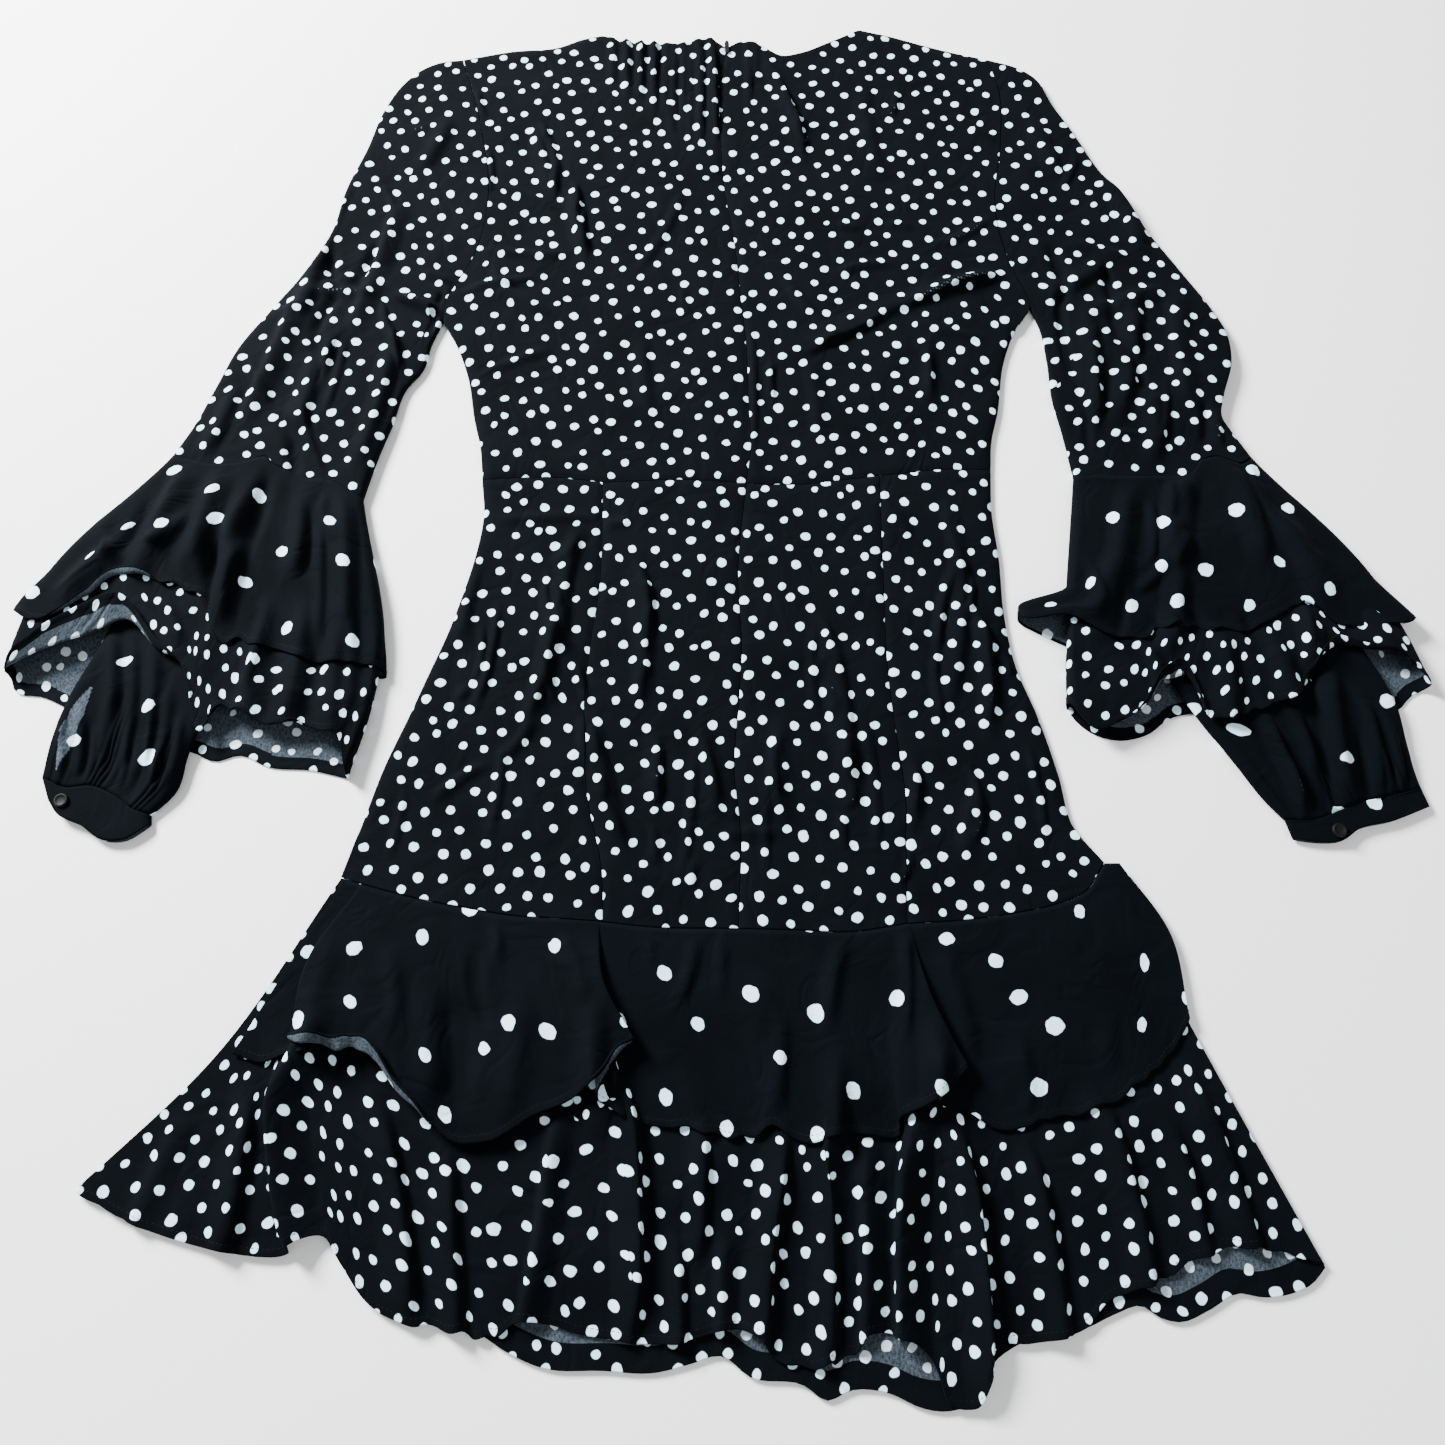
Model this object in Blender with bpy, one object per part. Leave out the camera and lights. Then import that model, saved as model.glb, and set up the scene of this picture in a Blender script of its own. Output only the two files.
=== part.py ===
"""A ruffled long-sleeved dress laid flat on its front, one solid for each piece a maker cuts.

The back faces up. Plan sizes are millimetres on the surface it lies on, with X to the right and
Y towards the neck, and left and right are as seen from above. Cloth walls are built on a middle
surface: a plan made from edge curves or ribs, lifted by the layers below and by the folds.
"""
import math

import bpy
import numpy as np

# Driving sizes in millimetres
MM = 0.001
WALL = 1.0
GAP = 0.3
PITCH = WALL + GAP
FLOOR_LAYER = WALL / 2
SECOND_LAYER = FLOOR_LAYER + PITCH
THIRD_LAYER = SECOND_LAYER + PITCH
LOFT = 2 * PITCH
RIM_REACH = 8.0
EDGE_RADIUS = 6.0
EDGE_INSET = 0.7
TIP_RADIUS = 0.6
RUFFLE_TIP_RADIUS = 1.9
ARMHOLE_GAP = 0.6
ARMHOLE_CROWN = SECOND_LAYER + LOFT
ELBOW_CROWN = 7.0
RUFFLE_CROWN = 11.0
BALLOON_CROWN = 8.0
SKIRT_SIDE_REACH = 30.0
UNDERARM_SHARE = 0.06
ARMHOLE_SHARE = 0.64
FRONT_NECK_DROP = 38.0
BUTTON_RADIUS = 4.5
BUTTON_DEPTH = 2.2
TAPE_HALF_WIDTH = 7.0
ZIP_LENGTH_SHARE = 0.66
SLIDER_SIZE = (3.6, 6.0, 2.4)
SLIDER_ABOVE_NECK = 1.2
BALLOON_FLOOR = THIRD_LAYER + 0.1
FOLD_FADE = 0.3

# Mesh fineness
STEP = 1e-4
PROBE = 0.05
SLEEVE_COLUMNS = 15
SLEEVE_UNDER_COLUMNS = 6
FRONT_COLUMNS = 24
SIDE_ROWS = 3

BLACK_DOTTED = (0.010, 0.011, 0.014, 1.0)
BLACK_PLAIN = (0.006, 0.007, 0.009, 1.0)
HORN = (0.012, 0.012, 0.013, 1.0)

# Edges of the body, rows of x, y
SHOULDER_LEFT = [(-210, 459), (-173, 468), (-133, 473), (-116, 481), (-101, 485)]
NECK_LEFT = [(-101, 485), (-89, 479), (-68, 475), (-36, 474), (-10, 478), (2, 470)]
NECK_RIGHT = [(2, 470), (14, 477), (30, 472), (47, 462), (61, 465), (86, 477), (112, 491)]
SHOULDER_RIGHT = [(112, 491), (139, 483), (166, 473), (212, 459)]
ARMHOLE_LEFT = [(-210, 459), (-197, 415), (-188, 377), (-180, 325), (-181, 291), (-187, 260),
                (-197, 236), (-204, 220), (-205, 202)]
ARMHOLE_RIGHT = [(212, 459), (218, 417), (214, 365), (206, 316), (206, 288), (210, 262),
                 (216, 241), (221, 228), (224, 214)]
BODICE_SIDE_LEFT = [(-205, 202), (-192, 178), (-183, 153), (-176, 118), (-170, 94), (-167, 69)]
BODICE_SIDE_RIGHT = [(224, 214), (210, 192), (200, 165), (193, 126), (186, 98), (184, 77)]
CENTRE_BACK = [(2, 470), (-5, 425), (-3, 383), (0, 325), (7, 278), (12, 222), (16, 178),
               (17, 135), (18, 91), (15, 66)]
CENTRE_SKIRT = [(15, 66), (9, 0), (11, -63), (9, -95), (6, -140), (10, -184), (9, -218), (8, -240)]
WAIST_LEFT_SIDE = [(-167, 69), (-122, 71), (-84, 67)]
WAIST_LEFT_CENTRE = [(-84, 67), (-26, 69), (15, 66)]
WAIST_RIGHT_CENTRE = [(15, 66), (51, 65), (83, 69), (107, 72)]
WAIST_RIGHT_SIDE = [(107, 72), (118, 73), (148, 77), (184, 77)]
SKIRT_SIDE_LEFT = [(-167, 69), (-164, 42), (-167, 13), (-174, -19), (-181, -45), (-191, -74),
                   (-202, -106), (-214, -139), (-224, -176), (-233, -209)]
SKIRT_SIDE_RIGHT = [(184, 77), (182, 46), (184, 8), (184, -33), (189, -72), (199, -103),
                    (209, -144), (215, -178), (231, -200)]
GORE_LEFT = [(-84, 67), (-83, 38), (-83, -7), (-88, -59), (-90, -104), (-85, -160),
             (-75, -204), (-73, -236)]
GORE_RIGHT = [(107, 72), (106, 4), (106, -82), (109, -118), (112, -153), (111, -189), (109, -237)]
SEAM_LEFT_SIDE = [(-233, -209), (-209, -216), (-185, -222), (-153, -228), (-129, -232),
                  (-99, -234), (-73, -236)]
SEAM_LEFT_CENTRE = [(-73, -236), (-45, -239), (8, -240)]
SEAM_RIGHT_CENTRE = [(8, -240), (44, -241), (75, -242), (109, -237)]
SEAM_RIGHT_SIDE = [(109, -237), (143, -235), (172, -231), (197, -226), (217, -218), (231, -200)]

# Ribs of the back flounces: seam x, upper hem x, y, lower hem x, y
FLOUNCE_RIBS = [
    (-233, -295, -314, -363, -385), (-226, -278, -321, -321, -404),
    (-218, -263, -320, -281, -415), (-211, -254, -314, -246, -419),
    (-203, -244, -307, -232, -413), (-197, -235, -309, -221, -407),
    (-190, -227, -303, -209, -422), (-181, -214, -301, -195, -440),
    (-172, -203, -307, -182, -449), (-163, -190, -320, -167, -452),
    (-153, -176, -340, -152, -454), (-141, -158, -354, -137, -457),
    (-131, -145, -358, -125, -458), (-117, -123, -354, -107, -450),
    (-106, -107, -346, -94, -452), (-95, -92, -339, -80, -456),
    (-85, -78, -332, -68, -458), (-78, -70, -322, -60, -459),
    (-75, -66, -319, -55, -460), (-71, -61, -329, -51, -461),
    (-65, -56, -345, -45, -461), (-48, -38, -352, -30, -461),
    (-27, -20, -354, -15, -458), (-7, -2, -356, 2, -454),
    (10, 13, -358, 12, -456), (22, 24, -356, 23, -465),
    (34, 34, -354, 34, -471), (45, 43, -360, 44, -472),
    (59, 56, -359, 55, -470), (73, 70, -358, 66, -467),
    (87, 84, -360, 76, -460), (97, 97, -355, 85, -455),
    (103, 105, -348, 95, -457), (108, 112, -340, 105, -461),
    (112, 118, -334, 112, -474), (115, 123, -332, 118, -490),
    (120, 128, -335, 130, -491), (126, 136, -341, 136, -477),
    (133, 144, -348, 146, -462), (142, 155, -353, 162, -461),
    (153, 167, -355, 179, -458), (164, 182, -351, 194, -453),
    (176, 197, -347, 206, -441), (187, 214, -340, 224, -434),
    (199, 228, -333, 245, -426), (210, 243, -323, 267, -416),
    (221, 258, -308, 296, -415), (231, 269, -291, 327, -423)]

# Hems of the front flounces, rows of x, y
FRONT_UPPER_HEM = [(-290, -313), (-244, -326), (-174, -343), (-94, -346), (8, -348), (99, -346),
                   (173, -343), (227, -326), (264, -291)]
FRONT_LOWER_HEM = [
    (-360, -384), (-317, -402), (-260, -412), (-234, -408), (-222, -404), (-205, -419),
    (-183, -446), (-153, -450), (-131, -457), (-117, -465), (-96, -473), (-66, -474), (-37, -475),
    (-19, -471), (-2, -467), (13, -477), (42, -481), (53, -488), (67, -483), (88, -485),
    (102, -491), (115, -493), (133, -487), (141, -472), (163, -459), (193, -454), (210, -447),
    (225, -443), (234, -449), (244, -451), (261, -445), (278, -437), (290, -439), (307, -437),
    (319, -432), (327, -424)]

# Sleeve edges, rows of x, y
SLEEVE_OUTER_LEFT = [(-210, 459), (-229, 456), (-243, 448), (-257, 431), (-268, 406), (-277, 367),
                     (-289, 325), (-295, 285), (-310, 249), (-331, 213), (-351, 178),
                     (-362, 143), (-373, 110), (-383, 88)]
SLEEVE_INNER_LEFT = [(-205, 202), (-212, 182), (-216, 160), (-227, 142), (-233, 114), (-240, 87),
                     (-247, 53)]
SLEEVE_OUTER_RIGHT = [(212, 459), (233, 451), (247, 440), (259, 411), (271, 385), (288, 345),
                      (301, 320), (318, 285), (338, 248), (356, 213), (364, 192), (364, 169),
                      (353, 135), (350, 122), (356, 105), (365, 87)]
SLEEVE_INNER_RIGHT = [(224, 214), (230, 194), (232, 165), (232, 135), (236, 106), (240, 70)]

# Ribs of the sleeve ruffles, left to right: seam x, y, upper hem x, y, lower hem x, y
RUFFLE_RIBS_LEFT = [
    (-383, 88, -461, -34, -464, -75), (-376, 85, -451, -41, -460, -73),
    (-366, 83, -435, -34, -443, -63), (-355, 80, -417, -21, -416, -52),
    (-344, 80, -397, -7, -388, -42), (-335, 81, -373, -13, -368, -59),
    (-328, 83, -355, -18, -349, -73), (-323, 85, -341, -27, -342, -88),
    (-318, 86, -333, -45, -337, -106), (-311, 80, -326, -57, -329, -118),
    (-303, 76, -316, -54, -325, -104), (-293, 70, -306, -58, -311, -102),
    (-285, 68, -287, -62, -297, -108), (-277, 68, -274, -68, -286, -114),
    (-268, 66, -259, -71, -272, -111), (-260, 62, -244, -71, -254, -118),
    (-254, 58, -231, -72, -243, -120), (-247, 53, -221, -73, -235, -146)]
RUFFLE_RIBS_RIGHT = [
    (240, 70, 223, -40, 218, -97), (247, 70, 229, -49, 225, -108),
    (255, 71, 240, -53, 233, -116), (265, 70, 258, -54, 246, -112),
    (275, 70, 273, -52, 261, -104), (284, 70, 280, -47, 270, -95),
    (294, 70, 289, -45, 280, -84), (303, 70, 298, -45, 291, -80),
    (312, 70, 308, -46, 298, -87), (318, 71, 319, -47, 305, -108),
    (324, 76, 330, -48, 321, -107), (329, 83, 342, -47, 342, -101),
    (335, 85, 357, -40, 363, -93), (341, 86, 369, -33, 374, -79),
    (346, 84, 380, -29, 385, -66), (351, 82, 389, -33, 398, -58),
    (356, 80, 398, -41, 413, -61), (360, 82, 411, -37, 430, -64),
    (363, 84, 426, -32, 443, -72), (365, 87, 438, -25, 453, -85)]

# Hems of the ruffles' undersides, rows of x, y
UNDER_UPPER_LEFT = [(-461, -34), (-430, -50), (-382, -61), (-336, -65), (-289, -70), (-250, -72),
                    (-221, -73)]
UNDER_LOWER_LEFT = [(-464, -75), (-458, -87), (-441, -90), (-417, -101), (-388, -116),
                    (-361, -125), (-337, -128), (-322, -134), (-307, -130), (-287, -138),
                    (-261, -140), (-235, -146)]
UNDER_UPPER_RIGHT = [(223, -40), (240, -50), (279, -54), (325, -52), (372, -42), (414, -30),
                     (438, -25)]
UNDER_LOWER_RIGHT = [(218, -97), (225, -108), (235, -116), (250, -120), (269, -116), (285, -105),
                     (305, -101), (337, -101), (369, -97), (400, -87), (423, -86), (431, -100),
                     (443, -90), (453, -85)]

# Inner balloon sleeves and cuffs, rows of x, y, each from left to right or from top to bottom
BALLOON_TOP_LEFT = [(-370, 76), (-335, 72), (-300, 62), (-260, 55)]
BALLOON_OUTER_LEFT = [(-370, 76), (-387, 18), (-405, -52), (-420, -94), (-427, -127), (-428, -145)]
BALLOON_INNER_LEFT = [(-260, 55), (-270, -15), (-299, -73), (-331, -111), (-337, -131),
                      (-341, -154), (-355, -170)]
CUFF_TOP_LEFT = [(-428, -145), (-411, -152), (-396, -151), (-380, -157), (-368, -165),
                 (-355, -170)]
CUFF_END_LEFT = [(-422, -158), (-412, -170), (-398, -176), (-381, -186), (-370, -186),
                 (-354, -176)]
BALLOON_TOP_RIGHT = [(252, 62), (290, 62), (325, 68), (354, 76)]
BALLOON_INNER_RIGHT = [(252, 62), (258, 7), (277, -59), (302, -110), (321, -139), (335, -160),
                       (346, -173)]
BALLOON_OUTER_RIGHT = [(354, 76), (386, 7), (412, -52), (429, -99), (431, -122), (433, -141),
                       (435, -152)]
CUFF_TOP_RIGHT = [(346, -173), (363, -173), (378, -168), (393, -162), (412, -158), (435, -152)]
CUFF_END_RIGHT = [(349, -185), (364, -187), (379, -186), (390, -179), (414, -173), (438, -164)]
BUTTON_PLACES = {"left": (-411, -161), "right": (377, -180)}

# Folds: start x, y, end x, y, bend, half width, height, lean to the left of start to end
BODY_FOLDS = [
    (-94, 40, -103, -70, -10, 9, 2.6, 1.5), (-110, -20, -128, -125, 3, 10, 2.4, -1.5),
    (-61, 20, -55, -110, 4, 9, 2.2, 1.0), (-88, -95, -58, -205, -4, 10, 2.6, 2.0),
    (-20, -100, -5, -180, 3, 9, 2.0, 1.0), (60, -20, 76, -185, 6, 10, 2.8, 2.0),
    (38, -100, 40, -185, -5, 9, 2.0, -1.0), (157, 20, 135, -115, 6, 10, 2.6, 1.5),
    (162, -15, 166, -130, 5, 9, 2.2, 1.0), (161, -145, 148, -205, -3, 9, 2.0, -1.0),
    (118, -125, 113, -185, 2, 8, 1.8, 1.0), (-166, 10, -172, -60, -3, 9, 2.0, 1.0),
    (-45, -110, -47, -175, 2, 8, 1.6, 1.0), (150, 60, 156, -20, 3, 9, 1.8, -1.0),
    (219, 250, 45, 172, -8, 11, 2.8, 2.0), (145, 195, 142, 120, 2, 9, 1.6, 1.0),
    (-147, 400, -126, 310, -5, 9, 2.2, 1.5), (-118, 338, -101, 245, -3, 9, 2.0, 1.0),
    (-190, 235, -120, 200, 4, 10, 2.2, 1.0), (-60, 200, -52, 110, -3, 9, 1.8, 1.0),
    (60, 170, 66, 95, 3, 9, 1.6, -1.0), (28, 468, 62, 345, 4, 8, 2.2, 1.5),
    (110, 440, 120, 330, -4, 10, 1.8, 1.0)]

# Gathers at the back neck: x, length, height
NECK_GATHERS = [(-92, 60, 1.5), (-80, 75, 1.9), (-69, 70, 1.6), (-58, 95, 2.0), (-46, 90, 1.8),
                (-35, 110, 2.1), (-24, 125, 2.0), (-13, 115, 2.0), (22, 50, 1.4)]
GATHER_HALF_WIDTH = 5.0
GATHER_TOP = 482

FLOUNCE_FOLDS = [
    (-78, -232, -66, -365, -6, 13, 8.5, 9.0), (-66, -300, -55, -480, 6, 11, 6.5, 5.0),
    (107, -232, 120, -350, 5, 12, 8.0, 7.0), (113, -330, 101, -500, -5, 11, 7.5, -6.0),
    (128, -338, 133, -510, 3, 9, 6.5, 5.0), (-43, -228, -37, -320, 2, 8, 4.5, 3.0),
    (-20, -228, -31, -320, -2, 8, 4.5, -3.0), (73, -232, 60, -420, -3, 9, 5.0, -3.5),
    (-93, -330, -112, -480, 5, 10, 4.5, -3.0), (-16, -340, -18, -430, 2, 8, 3.5, 2.0),
    (36, -340, 16, -490, -6, 10, 5.5, 4.0), (54, -345, 48, -500, 3, 9, 4.5, 3.0),
    (-236, -235, -247, -345, 5, 13, 6.5, -5.0), (-250, -300, -216, -440, -9, 12, 7.5, -7.0),
    (-190, -240, -172, -330, 3, 10, 3.5, 2.0), (-132, -245, -140, -345, -3, 11, 3.5, -2.0),
    (163, -240, 163, -340, 3, 11, 3.0, 2.0), (209, -230, 222, -330, 3, 11, 3.5, 2.0),
    (208, -325, 228, -460, 4, 11, 4.5, 3.0), (259, -310, 288, -440, 4, 11, 5.0, 3.5),
    (-305, -330, -330, -420, 3, 11, 4.5, -3.0), (-275, -320, -280, -440, 3, 11, 5.0, 3.0),
    (-207, -325, -170, -470, 5, 12, 5.0, 4.0), (-159, -350, -140, -480, -3, 11, 4.5, 3.0),
    (165, -345, 178, -490, 3, 11, 4.5, 3.0), (81, -345, 76, -490, 2, 9, 4.5, -3.0),
    (-30, -400, -28, -490, 2, 8, 3.5, 2.0), (0, -400, -3, -490, 2, 8, 3.5, -2.0),
    (247, -340, 262, -450, 2, 9, 4.0, 3.0), (-350, -350, -372, -420, 2, 10, 3.5, -2.0)]
RUFFLE_FOLDS_LEFT = [
    (-318, 78, -331, -90, -5, 14, 5.5, -2.5), (-266, 70, -247, -75, 4, 12, 4.5, 2.0),
    (-288, 70, -287, -20, 3, 11, 4.0, 1.0), (-347, 82, -360, -20, 4, 12, 4.0, -1.0),
    (-370, 85, -392, -20, 3, 12, 4.0, -1.0), (-440, -30, -395, 20, 3, 12, 3.5, 1.0),
    (-276, -20, -280, -125, 3, 12, 4.0, 1.0), (-255, -40, -250, -150, 3, 12, 3.5, 1.0),
    (-302, -40, -304, -125, 2, 12, 3.5, -1.0)]
RUFFLE_FOLDS_RIGHT = [
    (321, 82, 299, -10, -4, 14, 5.5, -2.5), (283, 72, 254, -45, -4, 12, 4.0, -1.0),
    (345, 85, 357, -10, 3, 12, 4.0, 1.0), (299, 10, 284, -70, 3, 12, 4.0, 1.0),
    (372, 45, 393, -40, 3, 12, 4.0, 1.0), (262, 10, 239, -60, -4, 12, 3.0, -1.0),
    (321, -40, 315, -125, 2, 12, 4.0, 1.0), (275, -45, 281, -110, 3, 12, 3.5, -1.0),
    (378, -25, 381, -85, 2, 12, 3.5, -1.0), (347, -40, 362, -115, 3, 12, 4.0, 1.0),
    (415, -25, 436, -90, 3, 12, 3.5, 1.0)]
SLEEVE_FOLDS_LEFT = [
    (-196, 205, -262, 250, 4, 11, 2.6, 1.0), (-286, 345, -308, 180, -6, 11, 3.0, 1.5),
    (-245, 325, -273, 180, 5, 10, 2.6, -1.5), (-277, 205, -304, 85, -4, 11, 3.0, 1.5),
    (-310, 235, -341, 100, 5, 11, 3.0, -1.5), (-238, 195, -258, 65, 3, 10, 2.6, 1.0),
    (-215, 400, -238, 340, 3, 10, 2.0, 1.0), (-345, 150, -365, 80, 2, 10, 2.4, 1.0)]
SLEEVE_FOLDS_RIGHT = [
    (228, 222, 290, 262, -4, 11, 2.6, -1.0), (300, 240, 268, 100, 5, 11, 3.0, 1.5),
    (335, 240, 330, 120, -4, 11, 2.6, -1.5), (262, 225, 252, 90, 4, 11, 3.0, 1.5),
    (256, 208, 330, 232, -3, 10, 2.2, 1.0), (288, 345, 312, 250, 4, 11, 2.4, 1.0),
    (235, 400, 255, 330, 3, 10, 2.0, 1.0), (302, 150, 294, 75, 2, 10, 2.6, 1.0)]

GATHERS_PER_BALLOON = 7
GATHER_DEPTH = 1.3


def ease(value):
    """Smooth ramp from 0 to 1."""
    t = np.clip(value, 0.0, 1.0)
    return t * t * (3 - 2 * t)


def spline(knots, values, at):
    """A smooth curve through the values, read at any place between the knots."""
    knots = np.asarray(knots, float)
    values = np.asarray(values, float)
    spans = np.diff(knots)[:, None]
    slopes = np.diff(values, axis=0) / spans
    inner = (slopes[:-1] * spans[1:] + slopes[1:] * spans[:-1]) / (spans[:-1] + spans[1:])
    tangents = np.vstack((slopes[:1], inner, slopes[-1:]))
    at = np.asarray(at, float)
    cell = np.clip(np.searchsorted(knots, at, side="right") - 1, 0, len(knots) - 2)
    span = spans[cell]
    t = (at - knots[cell])[:, None] / span
    before, after = values[cell], values[cell + 1]
    return ((1 + 2 * t) * (1 - t) ** 2 * before + t * (1 - t) ** 2 * span * tangents[cell]
            + t * t * (3 - 2 * t) * after - t * t * (1 - t) * span * tangents[cell + 1])


def curve(points, count=200):
    """Even places along a smooth curve through a few plan points."""
    points = np.asarray(points, float)
    chords = np.concatenate(([0], np.cumsum(np.linalg.norm(np.diff(points, axis=0), axis=1))))
    fine = spline(chords, points, np.linspace(0, chords[-1], 8 * count))
    run = np.concatenate(([0], np.cumsum(np.linalg.norm(np.diff(fine, axis=0), axis=1))))
    even = np.linspace(0, run[-1], count)
    return np.column_stack([np.interp(even, run, fine[:, k]) for k in range(2)])


def edge(*runs, split=None):
    """Rows of share, x, y along curves that meet end to end. split is the share where they meet."""
    points = np.vstack([curve(run) for run in runs])
    run = np.concatenate(([0], np.cumsum(np.linalg.norm(np.diff(points, axis=0), axis=1))))
    share = run / run[-1]
    if split is not None:
        meeting = share[len(points) // 2]
        share = np.interp(share, (0, meeting, 1), (0, split, 1))
    return np.column_stack((share, points))


def read(line, share):
    """Plan points at shares 0 to 1 of an edge."""
    return np.stack([np.interp(share, line[:, 0], line[:, k]) for k in (1, 2)], axis=-1)


def length(line):
    return float(np.linalg.norm(np.diff(line[:, 1:], axis=0), axis=1).sum())


def patch(top, bottom, left, right, u, v):
    """Plan points between four edges, u across from the left and v down from the top."""
    u1, v1 = u[..., None], v[..., None]
    blend = ((1 - v1) * read(top, u) + v1 * read(bottom, u)
             + (1 - u1) * read(left, v) + u1 * read(right, v))
    corners = ((1 - u1) * (1 - v1) * top[0, 1:] + u1 * (1 - v1) * top[-1, 1:]
               + (1 - u1) * v1 * bottom[0, 1:] + u1 * v1 * bottom[-1, 1:])
    return blend - corners


def distance(points, line):
    """How far plan points lie from a line of plan points."""
    best = np.full(points.shape[:-1], np.inf)
    for start, end in zip(line[:-1], line[1:]):
        run = end - start
        share = np.clip(((points - start) @ run) / max(run @ run, 1e-9), 0, 1)
        gap = points - (start + share[..., None] * run)
        best = np.minimum(best, np.hypot(gap[..., 0], gap[..., 1]))
    return best


def fold_shift(points, folds):
    """The sideways and upward shift that the folds give to plan points."""
    shift = np.zeros(points.shape[:-1] + (3,))
    for x0, y0, x1, y1, bend, half_width, height, lean in folds:
        run = np.array((x1 - x0, y1 - y0), float)
        size = np.hypot(*run)
        ahead = run / size
        aside = np.array((-ahead[1], ahead[0]))
        offset = points - np.array((x0, y0), float)
        t = (offset @ ahead) / size
        across = offset @ aside - bend * 4 * t * (1 - t)
        fade = ease(t / FOLD_FADE) * ease((1 - t) / FOLD_FADE)
        crest = np.where(np.abs(across) < half_width,
                         np.cos(0.5 * np.pi * across / half_width) ** 2, 0.0)
        shift[..., :2] += (fade * crest * lean)[..., None] * aside
        shift[..., 2] += fade * crest * height
    return shift


def gather_folds():
    """The back neck's gathers as folds that start at the neck edge."""
    return [(x, GATHER_TOP + size * 0.3, x + 2, GATHER_TOP - size, 1.0, GATHER_HALF_WIDTH,
             height, 0.6) for x, size, height in NECK_GATHERS]


def side_rims():
    """Where the back is sewn to the front: the shoulders and the sides."""
    rims = [curve(SHOULDER_LEFT), curve(SHOULDER_RIGHT)]
    for bodice, skirt in ((BODICE_SIDE_LEFT, SKIRT_SIDE_LEFT),
                          (BODICE_SIDE_RIGHT, SKIRT_SIDE_RIGHT)):
        side = edge(bodice, skirt)
        last = 1 - SKIRT_SIDE_REACH / length(side)
        rims.append(read(side, np.linspace(UNDERARM_SHARE, last, 40)))
    return rims


RIMS = side_rims()
ALL_BODY_FOLDS = BODY_FOLDS + gather_folds()


def back_of_body(plan):
    """Middle surface of the bodice and skirt back over any plan points."""
    near = np.min([distance(plan, rim) for rim in RIMS], axis=0)
    depth = 1 - np.clip(near / RIM_REACH, 0, 1)
    round_over = np.sqrt(1 - depth ** 2)
    shift = fold_shift(plan, ALL_BODY_FOLDS) * round_over[..., None]
    place = np.concatenate((plan, np.zeros(plan.shape[:-1] + (1,))), axis=-1) + shift
    place[..., 2] += SECOND_LAYER + LOFT * round_over
    return place


def unit(vectors):
    return vectors / np.linalg.norm(vectors, axis=-1, keepdims=True)


def body_normals(plan):
    """Directions square to the body's middle surface."""
    to_right = back_of_body(plan + (PROBE, 0)) - back_of_body(plan - (PROBE, 0))
    to_neck = back_of_body(plan + (0, PROBE)) - back_of_body(plan - (0, PROBE))
    return unit(np.cross(to_right, to_neck))


def surface_normals(surface, u, v):
    """Directions square to a surface of u across and v down."""
    across = surface(u + STEP, v) - surface(u - STEP, v)
    down = surface(u, v + STEP) - surface(u, v - STEP)
    return unit(np.cross(down, across))


def material(name, colour, roughness):
    surface = bpy.data.materials.new(name)
    surface.use_nodes = True
    shader = surface.node_tree.nodes["Principled BSDF"]
    shader.inputs["Base Color"].default_value = colour
    shader.inputs["Roughness"].default_value = roughness
    shader.inputs["Metallic"].default_value = 0.0
    surface.diffuse_color = colour
    return surface


def add_object(name, points, faces, colour, roughness=0.85):
    """A named object from points in millimetres."""
    mesh = bpy.data.meshes.new(name)
    mesh.from_pydata((np.asarray(points) * MM).tolist(), [], faces)
    mesh.update()
    mesh.materials.append(material(name + "_cloth", colour, roughness))
    item = bpy.data.objects.new(name, mesh)
    bpy.context.scene.collection.objects.link(item)
    return item


def add_wall(name, middle, normals, colour, ring=False):
    """A cloth wall either side of a grid of middle points, closed along its edges."""
    rows, columns = middle.shape[:2]
    half = normals * WALL / 2
    points = np.concatenate(((middle + half).reshape(-1, 3), (middle - half).reshape(-1, 3)))
    count = rows * columns
    faces = []

    def strip(a, b):
        faces.append((a, b, b + count))
        faces.append((a, b + count, a + count))

    last = columns if ring else columns - 1
    for row in range(rows - 1):
        for column in range(last):
            a = row * columns + column
            b = row * columns + (column + 1) % columns
            c = b + columns
            d = a + columns
            faces += [(a, d, c), (a, c, b)]
            faces += [(a + count, c + count, d + count), (a + count, b + count, c + count)]
    for column in range(last):
        right = (column + 1) % columns
        strip(column, right)
        strip(count - columns + right, count - columns + column)
    if not ring:
        for row in range(rows - 1):
            strip((row + 1) * columns, row * columns)
            strip((row + 1) * columns - 1, (row + 2) * columns - 1)
    return add_object(name, points, faces, colour)


def inset_grid(edges, u_shares, v_shares, gap=GAP):
    """Shares u and v as grids, drawn in from the edges by half a seam gap."""
    top, bottom, left, right = edges
    side = gap / (length(top) + length(bottom))
    end = gap / (length(left) + length(right))
    u = side + np.asarray(u_shares) * (1 - 2 * side)
    v = end + np.asarray(v_shares) * (1 - 2 * end)
    return np.meshgrid(u, v)


def add_back_panel(name, edges, u_shares, v_shares):
    """A piece of the back, lying over the front."""
    u, v = inset_grid(edges, u_shares, v_shares)
    plan = patch(*edges, u, v)
    return add_wall(name, back_of_body(plan), body_normals(plan), BLACK_DOTTED)


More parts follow.
